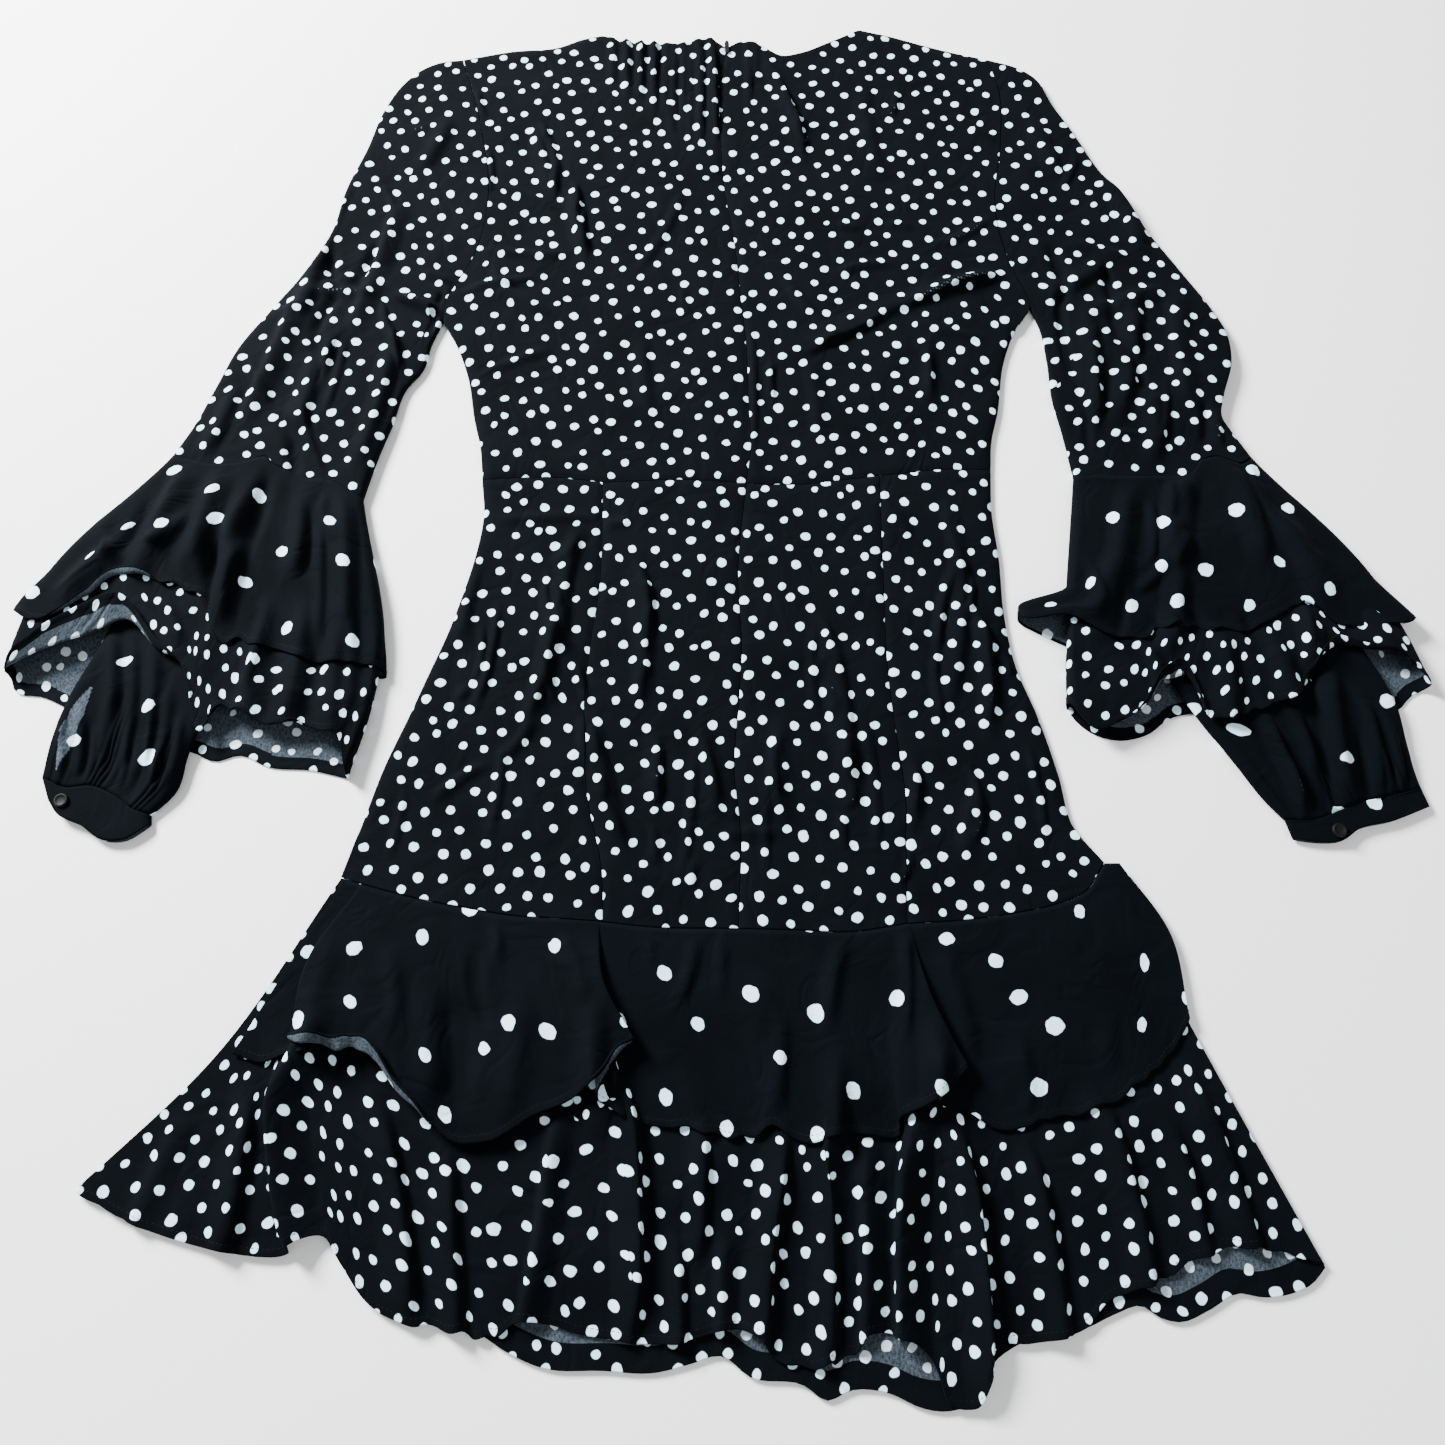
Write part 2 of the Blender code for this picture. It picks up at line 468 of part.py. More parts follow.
def add_flat_panel(name, edges, u_shares, v_shares, colour=BLACK_DOTTED, low=0.0):
    """A piece of the front, lying flat with its underside at a low height."""
    u, v = inset_grid(edges, u_shares, v_shares)
    grid = patch(*edges, u, v)
    outline = np.concatenate((grid[0, :-1], grid[:-1, -1], grid[-1, :0:-1], grid[:0:-1, 0]))
    outline = outline[::-1]
    count = len(outline)
    under = np.column_stack((outline, np.full(count, low)))
    upper = np.column_stack((outline, np.full(count, low + WALL)))
    faces = [tuple(range(count - 1, -1, -1)), tuple(range(count, 2 * count))]
    faces += [(k, (k + 1) % count, count + (k + 1) % count, count + k) for k in range(count)]
    return add_object(name, np.concatenate((under, upper)), faces, colour)


def lowered_neck(points, drop):
    """The front neck edge, lower than the back's towards its middle."""
    neck = curve(points)
    share = (neck[:, 0] - neck[0, 0]) / (neck[-1, 0] - neck[0, 0])
    neck[:, 1] -= drop * np.sin(np.pi * np.clip(share, 0, 1))
    return neck


def body_sides():
    """The left and right edges of the whole bodice, split at the underarm."""
    return (edge(ARMHOLE_LEFT, BODICE_SIDE_LEFT, split=ARMHOLE_SHARE),
            edge(ARMHOLE_RIGHT, BODICE_SIDE_RIGHT, split=ARMHOLE_SHARE))


def bodice_rows(armhole_columns):
    """Rows of a bodice piece: its armhole has the same places as the sleeve that meets it."""
    tip = 0.8 * EDGE_RADIUS / length(edge(ARMHOLE_LEFT))
    shares = np.concatenate(([0], np.linspace(tip, 1 - tip, armhole_columns), [1]))
    side = np.linspace(ARMHOLE_SHARE, 1, SIDE_ROWS + 1)[1:]
    return np.concatenate((shares * ARMHOLE_SHARE, side))


def build_fronts():
    """Bodice and skirt fronts, face down on the surface."""
    neck = lowered_neck(NECK_LEFT + NECK_RIGHT[1:], FRONT_NECK_DROP)
    top = edge(SHOULDER_LEFT, neck, SHOULDER_RIGHT)
    left, right = body_sides()
    across = np.linspace(0, 1, FRONT_COLUMNS + 1)
    add_flat_panel("bodice_front", (top, WAIST, left, right), across,
                   bodice_rows(SLEEVE_UNDER_COLUMNS))
    edges = (WAIST, FLOUNCE_SEAM, edge(SKIRT_SIDE_LEFT), edge(SKIRT_SIDE_RIGHT))
    add_flat_panel("skirt_front", edges, across, np.linspace(0, 1, 13))


def build_bodice_back():
    """The two halves either side of the zip. The left one carries the neck gathers."""
    left_side, right_side = body_sides()
    rows = bodice_rows(SLEEVE_COLUMNS)
    plain = np.linspace(0, 0.5, 6)[:-1]
    gathered = np.linspace(0.5, 1, 22)
    edges = (edge(SHOULDER_LEFT, NECK_LEFT), edge(WAIST_LEFT_SIDE, WAIST_LEFT_CENTRE),
             left_side, edge(CENTRE_BACK))
    add_back_panel("bodice_back_left", edges, np.concatenate((plain, gathered)), rows)
    edges = (edge(NECK_RIGHT, SHOULDER_RIGHT), edge(WAIST_RIGHT_CENTRE, WAIST_RIGHT_SIDE),
             edge(CENTRE_BACK), right_side)
    add_back_panel("bodice_back_right", edges, np.linspace(0, 1, 15), rows)


def build_skirt_back():
    """Four gores from the waist to the flounce seam."""
    gores = (
        ("skirt_side_left", WAIST_LEFT_SIDE, SEAM_LEFT_SIDE, SKIRT_SIDE_LEFT, GORE_LEFT),
        ("skirt_centre_left", WAIST_LEFT_CENTRE, SEAM_LEFT_CENTRE, GORE_LEFT, CENTRE_SKIRT),
        ("skirt_centre_right", WAIST_RIGHT_CENTRE, SEAM_RIGHT_CENTRE, CENTRE_SKIRT, GORE_RIGHT),
        ("skirt_side_right", WAIST_RIGHT_SIDE, SEAM_RIGHT_SIDE, GORE_RIGHT, SKIRT_SIDE_RIGHT))
    for name, waist, seam, left, right in gores:
        edges = (edge(waist), edge(seam), edge(left), edge(right))
        add_back_panel(name, edges, np.linspace(0, 1, 10), np.linspace(0, 1, 11))


def three_stations(seam, upper, lower, v):
    """A smooth path through a seam at v 0, an upper hem at 1 and a lower hem at 2."""
    v = v[..., None]
    first = np.linalg.norm(upper - seam, axis=-1, keepdims=True)
    second = np.linalg.norm(lower - upper, axis=-1, keepdims=True)
    start, end = (upper - seam) / first, (lower - upper) / second
    turn = (start * second + end * first) / (first + second)

    def piece(a, b, leave, arrive, span, t):
        return ((1 + 2 * t) * (1 - t) ** 2 * a + t * (1 - t) ** 2 * span * leave
                + t * t * (3 - 2 * t) * b - t * t * (1 - t) * span * arrive)
    above = piece(seam, upper, start, turn, first, v)
    below = piece(upper, lower, turn, end, second, v - 1)
    return np.where(v < 1, above, below)


def rib_reader(rows, by_seam=False):
    """Rib values at shares across, taken evenly by rib or by length along the seam."""
    table = np.asarray(rows, float)
    knots = np.arange(len(table), dtype=float)
    if by_seam:
        steps = np.linalg.norm(np.diff(table[:, :2], axis=0), axis=1)
        knots = np.concatenate(([0], np.cumsum(steps)))
    knots /= knots[-1]

    def values(u):
        flat = spline(knots, table, np.clip(u, 0, 1).ravel())
        return flat.reshape(u.shape + (table.shape[1],))
    return values


WAIST = edge(WAIST_LEFT_SIDE, WAIST_LEFT_CENTRE, WAIST_RIGHT_CENTRE, WAIST_RIGHT_SIDE)
FLOUNCE_SEAM = edge(SEAM_LEFT_SIDE, SEAM_LEFT_CENTRE, SEAM_RIGHT_CENTRE, SEAM_RIGHT_SIDE)
FLOUNCE_VALUES = rib_reader(FLOUNCE_RIBS)


def back_flounce(u, v):
    """Middle surface of the lower back flounce. The upper one lies a layer above it."""
    ribs = FLOUNCE_VALUES(u)
    seam_y = np.interp(ribs[..., 0], FLOUNCE_SEAM[:, 1], FLOUNCE_SEAM[:, 2])
    seam = np.stack((ribs[..., 0], seam_y), axis=-1)
    plan = three_stations(seam, ribs[..., 1:3], ribs[..., 3:5], v)
    place = np.concatenate((plan, np.zeros(plan.shape[:-1] + (1,))), axis=-1)
    place[..., 2] = THIRD_LAYER
    rim = ease(np.minimum(u, 1 - u) / 0.03)
    return place + fold_shift(plan, FLOUNCE_FOLDS) * rim[..., None]


def build_flounces():
    """Two tiers, each with a front and a back, all from the same seam."""
    columns = np.linspace(0.0008, 0.9992, 56)
    shared = np.linspace(0.003, 1.0, 5)
    u, v = np.meshgrid(columns, shared)
    normals = surface_normals(back_flounce, u, v)
    middle = back_flounce(u, v) + normals * PITCH
    add_wall("upper_flounce_back", middle, normals, BLACK_PLAIN)
    u, v = np.meshgrid(columns, np.concatenate((shared, np.linspace(1.0, 2.0, 6)[1:])))
    normals = surface_normals(back_flounce, u, v)
    add_wall("lower_flounce_back", back_flounce(u, v), normals, BLACK_DOTTED)

    left = edge([SEAM_LEFT_SIDE[0], (-262, -262), FRONT_UPPER_HEM[0]])
    right = edge([SEAM_RIGHT_SIDE[-1], (252, -246), FRONT_UPPER_HEM[-1]])
    across = np.linspace(0, 1, FRONT_COLUMNS + 1)
    edges = (FLOUNCE_SEAM, edge(FRONT_UPPER_HEM), left, right)
    add_flat_panel("upper_flounce_front", edges, across, np.linspace(0, 1, 6), BLACK_PLAIN)

    left = edge([SEAM_LEFT_SIDE[0], (-262, -262), (-294, -314), FRONT_LOWER_HEM[0]])
    right = edge([SEAM_RIGHT_SIDE[-1], (252, -246), (269, -291), FRONT_LOWER_HEM[-1]])
    edges = (FLOUNCE_SEAM, edge(FRONT_LOWER_HEM), left, right)
    add_flat_panel("lower_flounce_front", edges, np.linspace(0, 1, 61), np.linspace(0, 1, 8),
                   low=PITCH)


def tube_surface(over, under, crown, floor, folds, tip_radius):
    """A flattened tube: w runs 0 to 1 over the top from the left, then 1 to 2 back beneath.

    over and under give the plan at u, v. crown and floor give the heights of the middle of the
    two layers, and tip_radius is the smallest radius at the two side edges.
    """
    def shape(v):
        zeros, ones = np.zeros_like(v), np.ones_like(v)
        width = np.linalg.norm(over(ones, v) - over(zeros, v), axis=-1)
        half = (crown(zeros + 0.5, v) - floor(v)) / 2
        return width, np.minimum(EDGE_RADIUS, half ** 2 / tip_radius)

    def surface(w, v):
        w = np.mod(w, 2.0)
        beneath = w > 1
        u = np.where(beneath, 2 - w, w)
        width, radius = shape(v)
        start, end = over(np.zeros_like(v), v), over(np.ones_like(v), v)
        plan = np.where(beneath[..., None], under(u, v), over(u, v))
        near = np.minimum(np.linalg.norm(plan - start, axis=-1),
                          np.linalg.norm(plan - end, axis=-1))
        plan = plan + unit(end - start) * (EDGE_INSET * (1 - 2 * u))[..., None]
        depth = 1 - np.clip(near / radius, 0, 1)
        round_over = np.sqrt(1 - depth ** 2)
        centre = (crown(np.full_like(u, 0.5), v) + floor(v)) / 2
        height = np.where(beneath, floor(v), crown(u, v)) - centre
        place = np.concatenate((plan, (centre + height * round_over)[..., None]), axis=-1)
        shift = fold_shift(plan, folds) * (round_over * ease(v / 0.08))[..., None]
        return place + np.where(beneath[..., None], 0.0, shift)
    return surface, shape


def tube_stations(shape, v_shares, over_count, under_count):
    """Grids of w and v, closer together round the side edges."""
    near = np.array((0.0, 0.07, 0.3, 0.8))
    w_rows = []
    for share in v_shares:
        width, radius = shape(np.array(share))
        edge = near * radius / width
        top = np.linspace(edge[-1], 1 - edge[-1], over_count)[1:-1]
        low = np.linspace(1 + edge[-1], 2 - edge[-1], under_count)[1:-1]
        w_rows.append(np.concatenate((edge, top, 1 - edge[::-1], 1 + edge[1:], low,
                                      2 - edge[:0:-1])))
    w = np.array(w_rows)
    return w, np.repeat(np.asarray(v_shares)[:, None], w.shape[1], axis=1)


def add_tube(name, surface, grid, colour, offset=None):
    """A tube's wall. offset moves it inwards by a length that varies with v."""
    w, v = grid
    normals = surface_normals(surface, w, v)
    middle = surface(w, v)
    if offset is not None:
        middle = middle + normals * offset(v)[..., None]
    return add_wall(name, middle, normals, colour, ring=True)


def patch_reader(*edges):
    """The plan inside four edges, as a function of u and v."""
    lines = [edge(points) for points in edges]
    return lambda u, v: patch(*lines, u, v)


def seam_of(ribs):
    return [(row[0], row[1]) for row in ribs]


def build_sleeve(side, ribs, armhole, left, right, folds):
    """A sleeve tube from the armhole to the elbow seam."""
    outward = math.copysign(ARMHOLE_GAP, armhole[0][0])
    armhole = [(x + outward, y) for x, y in armhole]
    left, right = armhole[:1] + left[1:], armhole[-1:] + right[1:]
    plan = patch_reader(armhole, seam_of(ribs), left, right)
    beneath = patch_reader(armhole, (ribs[0][:2], ribs[-1][:2]), left, right)
    surface, shape = tube_surface(
        plan, beneath, lambda u, v: ARMHOLE_CROWN + (ELBOW_CROWN - ARMHOLE_CROWN) * ease(v),
        lambda v: np.full_like(v, FLOOR_LAYER), folds, TIP_RADIUS)
    grid = tube_stations(shape, np.linspace(0.0004, 0.9992, 9), SLEEVE_COLUMNS,
                         SLEEVE_UNDER_COLUMNS)
    add_tube("sleeve_" + side, surface, grid, BLACK_DOTTED)


def build_ruffles(side, ribs, under_upper, under_lower, folds):
    """Two ruffles from the elbow seam, the lower one inside the upper one."""
    values = rib_reader(ribs, by_seam=True)
    over_seam, under_seam = edge(seam_of(ribs)), edge((ribs[0][:2], ribs[-1][:2]))
    upper_edge, lower_edge = edge(under_upper), edge(under_lower)

    def over(u, v):
        row = values(u)
        return three_stations(read(over_seam, u), row[..., 2:4], row[..., 4:6], v)

    def under(u, v):
        return three_stations(read(under_seam, u), read(upper_edge, u), read(lower_edge, u), v)

    def crown(u, v):
        return ELBOW_CROWN + (RUFFLE_CROWN - ELBOW_CROWN) * ease(v / 0.6)

    surface, shape = tube_surface(over, under, crown,
                                  lambda v: np.full_like(v, FLOOR_LAYER), folds,
                                  RUFFLE_TIP_RADIUS)
    shared = np.linspace(0.006, 1.0, 5)
    grid = tube_stations(shape, shared, SLEEVE_COLUMNS, SLEEVE_UNDER_COLUMNS)
    add_tube("ruffle_upper_" + side, surface, grid, BLACK_PLAIN)
    rows = np.concatenate((shared, np.linspace(1.0, 2.0, 4)[1:]))
    grid = tube_stations(shape, rows, SLEEVE_COLUMNS, SLEEVE_UNDER_COLUMNS)
    add_tube("ruffle_lower_" + side, surface, grid, BLACK_DOTTED,
             lambda v: -PITCH * (1 - ease((v - 1.1) / 0.5)))


def build_balloon(side, top, end, left, right, settle_from):
    """The gathered inner sleeve from the elbow seam to the cuff."""
    plan = patch_reader(top, end, left, right)

    def floor(v):
        return BALLOON_FLOOR - (BALLOON_FLOOR - FLOOR_LAYER) * ease((v - settle_from) / 0.2)

    def crown(u, v):
        rise = ease(v / 0.3) * (1 - ease((v - 0.75) / 0.25))
        base = ARMHOLE_CROWN + (BALLOON_CROWN - ARMHOLE_CROWN) * rise
        ripple = GATHER_DEPTH * ease((v - 0.45) / 0.3) * (1 - ease((v - 0.97) / 0.03))
        return base + ripple * (0.5 - 0.5 * np.cos(2 * np.pi * GATHERS_PER_BALLOON * u))

    surface, shape = tube_surface(plan, plan, crown, floor, [], TIP_RADIUS)
    grid = tube_stations(shape, np.linspace(0.004, 0.9965, 6), 24, 5)
    add_tube("balloon_" + side, surface, grid, BLACK_PLAIN)


def build_cuff(side, top, end):
    """A narrow band at the wrist with its button."""
    edges = (top, end, [top[0], end[0]], [top[-1], end[-1]])
    plan = patch_reader(*edges)
    surface, shape = tube_surface(plan, plan, lambda u, v: np.full_like(v, ARMHOLE_CROWN),
                                  lambda v: np.full_like(v, FLOOR_LAYER), [], TIP_RADIUS)
    add_tube("cuff_" + side, surface, tube_stations(shape, (0.02, 1.0), 8, 5), BLACK_PLAIN)
    x, y = BUTTON_PLACES[side]
    bottom = ARMHOLE_CROWN + WALL / 2 + GAP
    add_button("button_" + side, x, y, bottom)


def add_button(name, x, y, bottom):
    """A domed disc, turned about the vertical."""
    profile = [(0.0, 0.0), (0.82, 0.0), (1.0, 0.3), (1.0, 0.6), (0.86, 0.9), (0.62, 1.0),
               (0.5, 0.85), (0.0, 0.85)]
    sides = 12
    points, faces = [], []
    for radius, height in profile[1:-1]:
        for k in range(sides):
            angle = 2 * math.pi * k / sides
            points.append((x + BUTTON_RADIUS * radius * math.cos(angle),
                           y + BUTTON_RADIUS * radius * math.sin(angle),
                           bottom + BUTTON_DEPTH * height))
    rings = len(profile) - 2
    for ring in range(rings - 1):
        for k in range(sides):
            a = ring * sides + k
            b = ring * sides + (k + 1) % sides
            faces.append((a, b, b + sides, a + sides))
    faces.append(tuple(range(sides - 1, -1, -1)))
    faces.append(tuple(range((rings - 1) * sides, rings * sides)))
    add_object(name, points, faces, HORN, 0.35)


def build_zip():
    """The concealed zip's tape under the centre-back seam, and its slider at the neck."""
    centre = edge(CENTRE_BACK, CENTRE_SKIRT)
    path = read(centre, np.linspace(0.0, ZIP_LENGTH_SHARE, 20))
    ahead = unit(np.gradient(path, axis=0))
    aside = np.column_stack((-ahead[:, 1], ahead[:, 0]))
    plan = np.stack((path - aside * TAPE_HALF_WIDTH, path + aside * TAPE_HALF_WIDTH), axis=1)
    height = SECOND_LAYER + LOFT - PITCH - 0.1
    middle = np.concatenate((plan, np.full(plan.shape[:2] + (1,), height)), axis=-1)
    add_wall("zip_tape", middle, np.broadcast_to((0.0, 0.0, 1.0), middle.shape), BLACK_PLAIN)
    wide, long, deep = SLIDER_SIZE
    x, y = CENTRE_BACK[0]
    low = height + WALL / 2 + GAP
    corners = [(x + i * wide / 2, y + SLIDER_ABOVE_NECK + j * long, low + k * deep)
               for k in (0, 1) for i, j in ((-1, 0), (1, 0), (1, 1), (-1, 1))]
    faces = [(3, 2, 1, 0), (4, 5, 6, 7), (0, 1, 5, 4), (1, 2, 6, 5), (2, 3, 7, 6), (3, 0, 4, 7)]
    add_object("zip_slider", corners, faces, HORN, 0.4)


def build():
    for item in list(bpy.data.objects):
        bpy.data.objects.remove(item, do_unlink=True)
    build_fronts()
    build_bodice_back()
    build_skirt_back()
    build_flounces()
    build_sleeve("left", RUFFLE_RIBS_LEFT, ARMHOLE_LEFT, SLEEVE_OUTER_LEFT, SLEEVE_INNER_LEFT,
                 SLEEVE_FOLDS_LEFT)
    build_sleeve("right", RUFFLE_RIBS_RIGHT, ARMHOLE_RIGHT[::-1], SLEEVE_INNER_RIGHT,
                 SLEEVE_OUTER_RIGHT, SLEEVE_FOLDS_RIGHT)
    build_ruffles("left", RUFFLE_RIBS_LEFT, UNDER_UPPER_LEFT, UNDER_LOWER_LEFT,
                  RUFFLE_FOLDS_LEFT)
    build_ruffles("right", RUFFLE_RIBS_RIGHT, UNDER_UPPER_RIGHT, UNDER_LOWER_RIGHT,
                  RUFFLE_FOLDS_RIGHT)
    build_balloon("left", BALLOON_TOP_LEFT, CUFF_TOP_LEFT, BALLOON_OUTER_LEFT,
                  BALLOON_INNER_LEFT, 0.8)
    build_balloon("right", BALLOON_TOP_RIGHT, CUFF_TOP_RIGHT, BALLOON_INNER_RIGHT,
                  BALLOON_OUTER_RIGHT, 0.76)
    build_cuff("left", CUFF_TOP_LEFT, CUFF_END_LEFT)
    build_cuff("right", CUFF_TOP_RIGHT, CUFF_END_RIGHT)
    build_zip()


build()
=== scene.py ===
"""The looks of a ruffled long-sleeved dress that lies flat on its front, back up.

Plan sizes are millimetres on the floor, X to the right and Y towards the neck, as in the frame.
Each sewn piece is a thin shell of cloth on its solid's form. Its printed dots follow the cloth's
own coordinates, so that they are cut at the seams and squeezed in the folds.
"""

import math

import bpy
import numpy as np
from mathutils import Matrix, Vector


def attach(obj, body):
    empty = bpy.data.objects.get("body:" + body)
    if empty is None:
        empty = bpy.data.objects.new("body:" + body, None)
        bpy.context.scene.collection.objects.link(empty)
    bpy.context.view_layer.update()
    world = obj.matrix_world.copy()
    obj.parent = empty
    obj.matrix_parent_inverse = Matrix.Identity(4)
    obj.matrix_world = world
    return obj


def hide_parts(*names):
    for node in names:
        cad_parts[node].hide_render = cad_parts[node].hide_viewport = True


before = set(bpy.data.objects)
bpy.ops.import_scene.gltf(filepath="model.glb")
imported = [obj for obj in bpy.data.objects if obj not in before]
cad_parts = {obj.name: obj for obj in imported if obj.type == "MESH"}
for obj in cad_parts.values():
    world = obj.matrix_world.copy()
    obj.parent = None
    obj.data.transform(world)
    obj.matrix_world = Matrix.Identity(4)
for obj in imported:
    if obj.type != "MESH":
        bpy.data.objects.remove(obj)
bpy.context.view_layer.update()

# Metres in a millimetre
MM = 0.001

# Layers, edges and reaches in millimetres, most of them as in the solids
WALL = 1.0
CLOTH = 0.5
GAP = 0.3
PITCH = WALL + GAP
FLOOR_LAYER = WALL / 2
SECOND_LAYER = FLOOR_LAYER + PITCH
THIRD_LAYER = SECOND_LAYER + PITCH
LOFT = 2 * PITCH
RIM_REACH = 8.0
EDGE_RADIUS = 6.0
EDGE_INSET = 0.7
TIP_RADIUS = 0.6
RUFFLE_TIP_RADIUS = 1.9
ARMHOLE_GAP = 0.15
ARMHOLE_CROWN = SECOND_LAYER + LOFT
ELBOW_CROWN = 7.0
RUFFLE_CROWN = 11.0
BALLOON_CROWN = 8.0
BALLOON_FLOOR = THIRD_LAYER + 0.1
LOWER_FLOUNCE = THIRD_LAYER + (WALL - CLOTH) / 2
SKIRT_SIDE_REACH = 30.0
FRONT_NECK_DROP = 38.0
TAPE_HALF_WIDTH = 7.0
TAPE_DROP = 0.1

# Shares of a piece: where the underarm is down the side, and how much of the back the zip takes
UNDERARM_SHARE = 0.06
ARMHOLE_SHARE = 0.64
ZIP_LENGTH_SHARE = 0.66

# Seams and their puckers, and hems with their roll, waves and turned-up parts, in millimetres
SEAM_WIDTH = 2.4
SEAM_DIP = 0.9
PUCKER_HEIGHT = 0.35
PUCKER_LENGTH = 11.0
PUCKER_REACH = 9.0
HEM_ROLL = 3.2
HEM_ROLL_FADE = 1.2
HEM_RISE = 0.45
HEM_WAVE = 1.3
HEM_WAVE_REACH = 11.0
HEM_WAVE_LENGTH = 2.7
TURN_RADIUS = 0.8
TURN_SLOPE = 0.3
LEAST_TURN = 0.05

# How far in millimetres the wrong side is covered by cloth turned in at a hem or a seam
HEM_FACING = 10.0
NARROW_FACING = 1.2
RUFFLE_FACING = 8.0
SEAM_ALLOWANCE = 25.0

# Stitches of the hems in millimetres, how far in they run and how far they stay off the floor.
# They stand out of the cloth by STITCH_RAISED of their radius.
STITCH_SIZES = {"Pitch": 2.9, "Stitch length": 2.2, "Thread radius": 0.18}
HEM_STITCH = 4.0
STITCH_RAISED = 0.4
STITCH_CLEAR = 0.1

# How much deeper the real folds are than those that the solids can hold without touching
BODY_GAIN = 1.25
CREASE_GAIN = 1.3
FLOUNCE_GAIN = 1.35
RUFFLE_GAIN = 1.3
SLEEVE_GAIN = 1.5

# How far down a valley may go before it meets the layer beneath. From a plan y downwards the
# ruffles' valleys get shallower.
DEEPEST_BACK = 1.2
DEEPEST_TUBE = 2.8
DEEPEST_RUFFLE = 3.6
DEEPEST_HEM = 1.0
VALLEYS_FROM = -20.0
VALLEYS_FADE = 40.0

# Height of the shallow unevenness of worn cloth, and of the creases pressed into the front
BODY_CRUMPLE = 0.45
UPPER_CRUMPLE = 0.6
FLOUNCE_CRUMPLE = 0.9
TUBE_CRUMPLE = 0.8
FRONT_WAVE = 0.9
FLOUNCE_FRONT_WAVE = 0.4

# The section of a fold: the share of its length in which it fades out at each end, how round its
# top is and how soft its foot. A sharp crease is narrower, moves sideways less and has troughs.
FOLD_FADE = 0.3
FOLD_ROUND = 0.3
FOLD_FOOT = 1.3
SHARP_SHIFT = 0.5
SHARP_SPREAD = 0.72
SHARP_TROUGHS = 0.8

# Shares of a piece from which, or over which, its folds, lift or height grow. FLOUNCE_RIM is
# a share across it, and the others are shares down it.
RELIEF_FROM = 0.55
FLOUNCE_RIM = 0.03
UPPER_SEAM_FADE = 0.15
LIFT_FADE = 0.7
TUBE_SEAM_FADE = 0.08
SHOWN_FADE = 0.12
RUFFLE_RISE = 0.6
LOWER_RUFFLE_SHOWN = 0.87
BALLOON_SHOWN = 0.45
LET_OUT_FROM = 1.1
LET_OUT_FADE = 0.5

# Down to the share COVERED the lower ruffle is inside the upper one. Where a pleat turns its
# cloth over by more than this slope there, it is still moved inwards.
COVERED = 0.9
FOLDED_OVER = -0.3

# The balloon sleeve, in shares down it as pairs of a start and a span: where it comes down to
# the floor, swells, draws in, and is gathered up to the cuff, and how often
SETTLE_SPAN = 0.2
SWELLS = (0.35, 0.3)
DRAWS_IN = (0.75, 0.25)
GATHERED = (0.72, 0.22)
GATHERS_END = (0.985, 0.015)
CUFF_GATHERS = 15

# The slit above the left cuff, as shares down and across the balloon sleeve
SLIT_FROM = 0.71
SLIT_LENGTH = 0.25
SLIT_HALF_WIDTH = 0.06
SLIT_ACROSS = 0.16
SLIT_LEAN = 0.05

# Settling of the printed cloth on a piece, and the smallest lengths that are told from nothing
RELAX_ROUNDS = 120
RELAX_STEP = 1.5
NEAREST = 1e-6
TINY = 1e-9

# Grid spacing, and the lengths that it divides, in millimetres. NEAR_EDGE is how far in the
# row or column beside an edge is, and the two shares keep a grid off the end of its seam.
BODY_SPACING = 2.5
FLOUNCE_SPACING = 2.75
FRONT_SPACING = 6.0
FLOUNCE_FRONT_SPACING = 4.8
SLEEVE_SPACING = 2.5
SLEEVE_LENGTH = 330.0
SLEEVE_START = 0.0004
UPPER_HEM_LENGTH = 950.0
LOWER_HEM_LENGTH = 1068.0
FLOUNCE_END = 0.0008
NEAR_EDGE = 0.7

# Rows down a piece, as runs of a first share, a last share and a count. False leaves out the last.
UPPER_FLOUNCE_ROWS = ((0.004, 0.88, 33, False), (0.88, 1.0, 14))
LOWER_FLOUNCE_ROWS = ((0.003, 0.9, 16), (0.92, 1.97, 46), (1.985, 1.994, 2), (2.0, 2.0, 1))
UPPER_RUFFLE_ROWS = ((0.0, 0.9, 36), (0.91, 1.0, 14))
LOWER_RUFFLE_ROWS = ((0.006, 0.9, 32), (0.92, 1.5, 20), (1.52, 2.0, 34))
BALLOON_ROWS = (0.0, 1.0, 84)
CUFF_ROWS = (0.0, 1.0, 16)
TAPE_ROWS = 160
TAPE_COLUMNS = 9

# Columns round a tube: over the top and beneath, and those at its side edges in edge radii
SLEEVE_COLUMNS = (62, 22)
RUFFLE_COLUMNS = (110, 50)
BALLOON_COLUMNS = (112, 22)
CUFF_COLUMNS = (50, 20)
EDGE_COLUMNS = np.array((0.0, 0.03, 0.1, 0.25, 0.5, 0.9))

# The two prints in millimetres: distance between dots, radius, unevenness of the places,
# and how much a dot's outline wavers. A dot's stretch and size vary between two factors.
SMALL_PRINT = (16.1, 2.72, 0.47, 0.7)
LARGE_PRINT = (47.5, 4.4, 0.56, 0.9)
PRINT_TURN = math.radians(12)
LATTICE_TURN = math.pi / 4
DOT_STRETCH = (0.82, 1.2)
DOT_SIZES = (0.85, 1.15)
INK_EDGE = 0.3
WAVER_LENGTH = 5.0

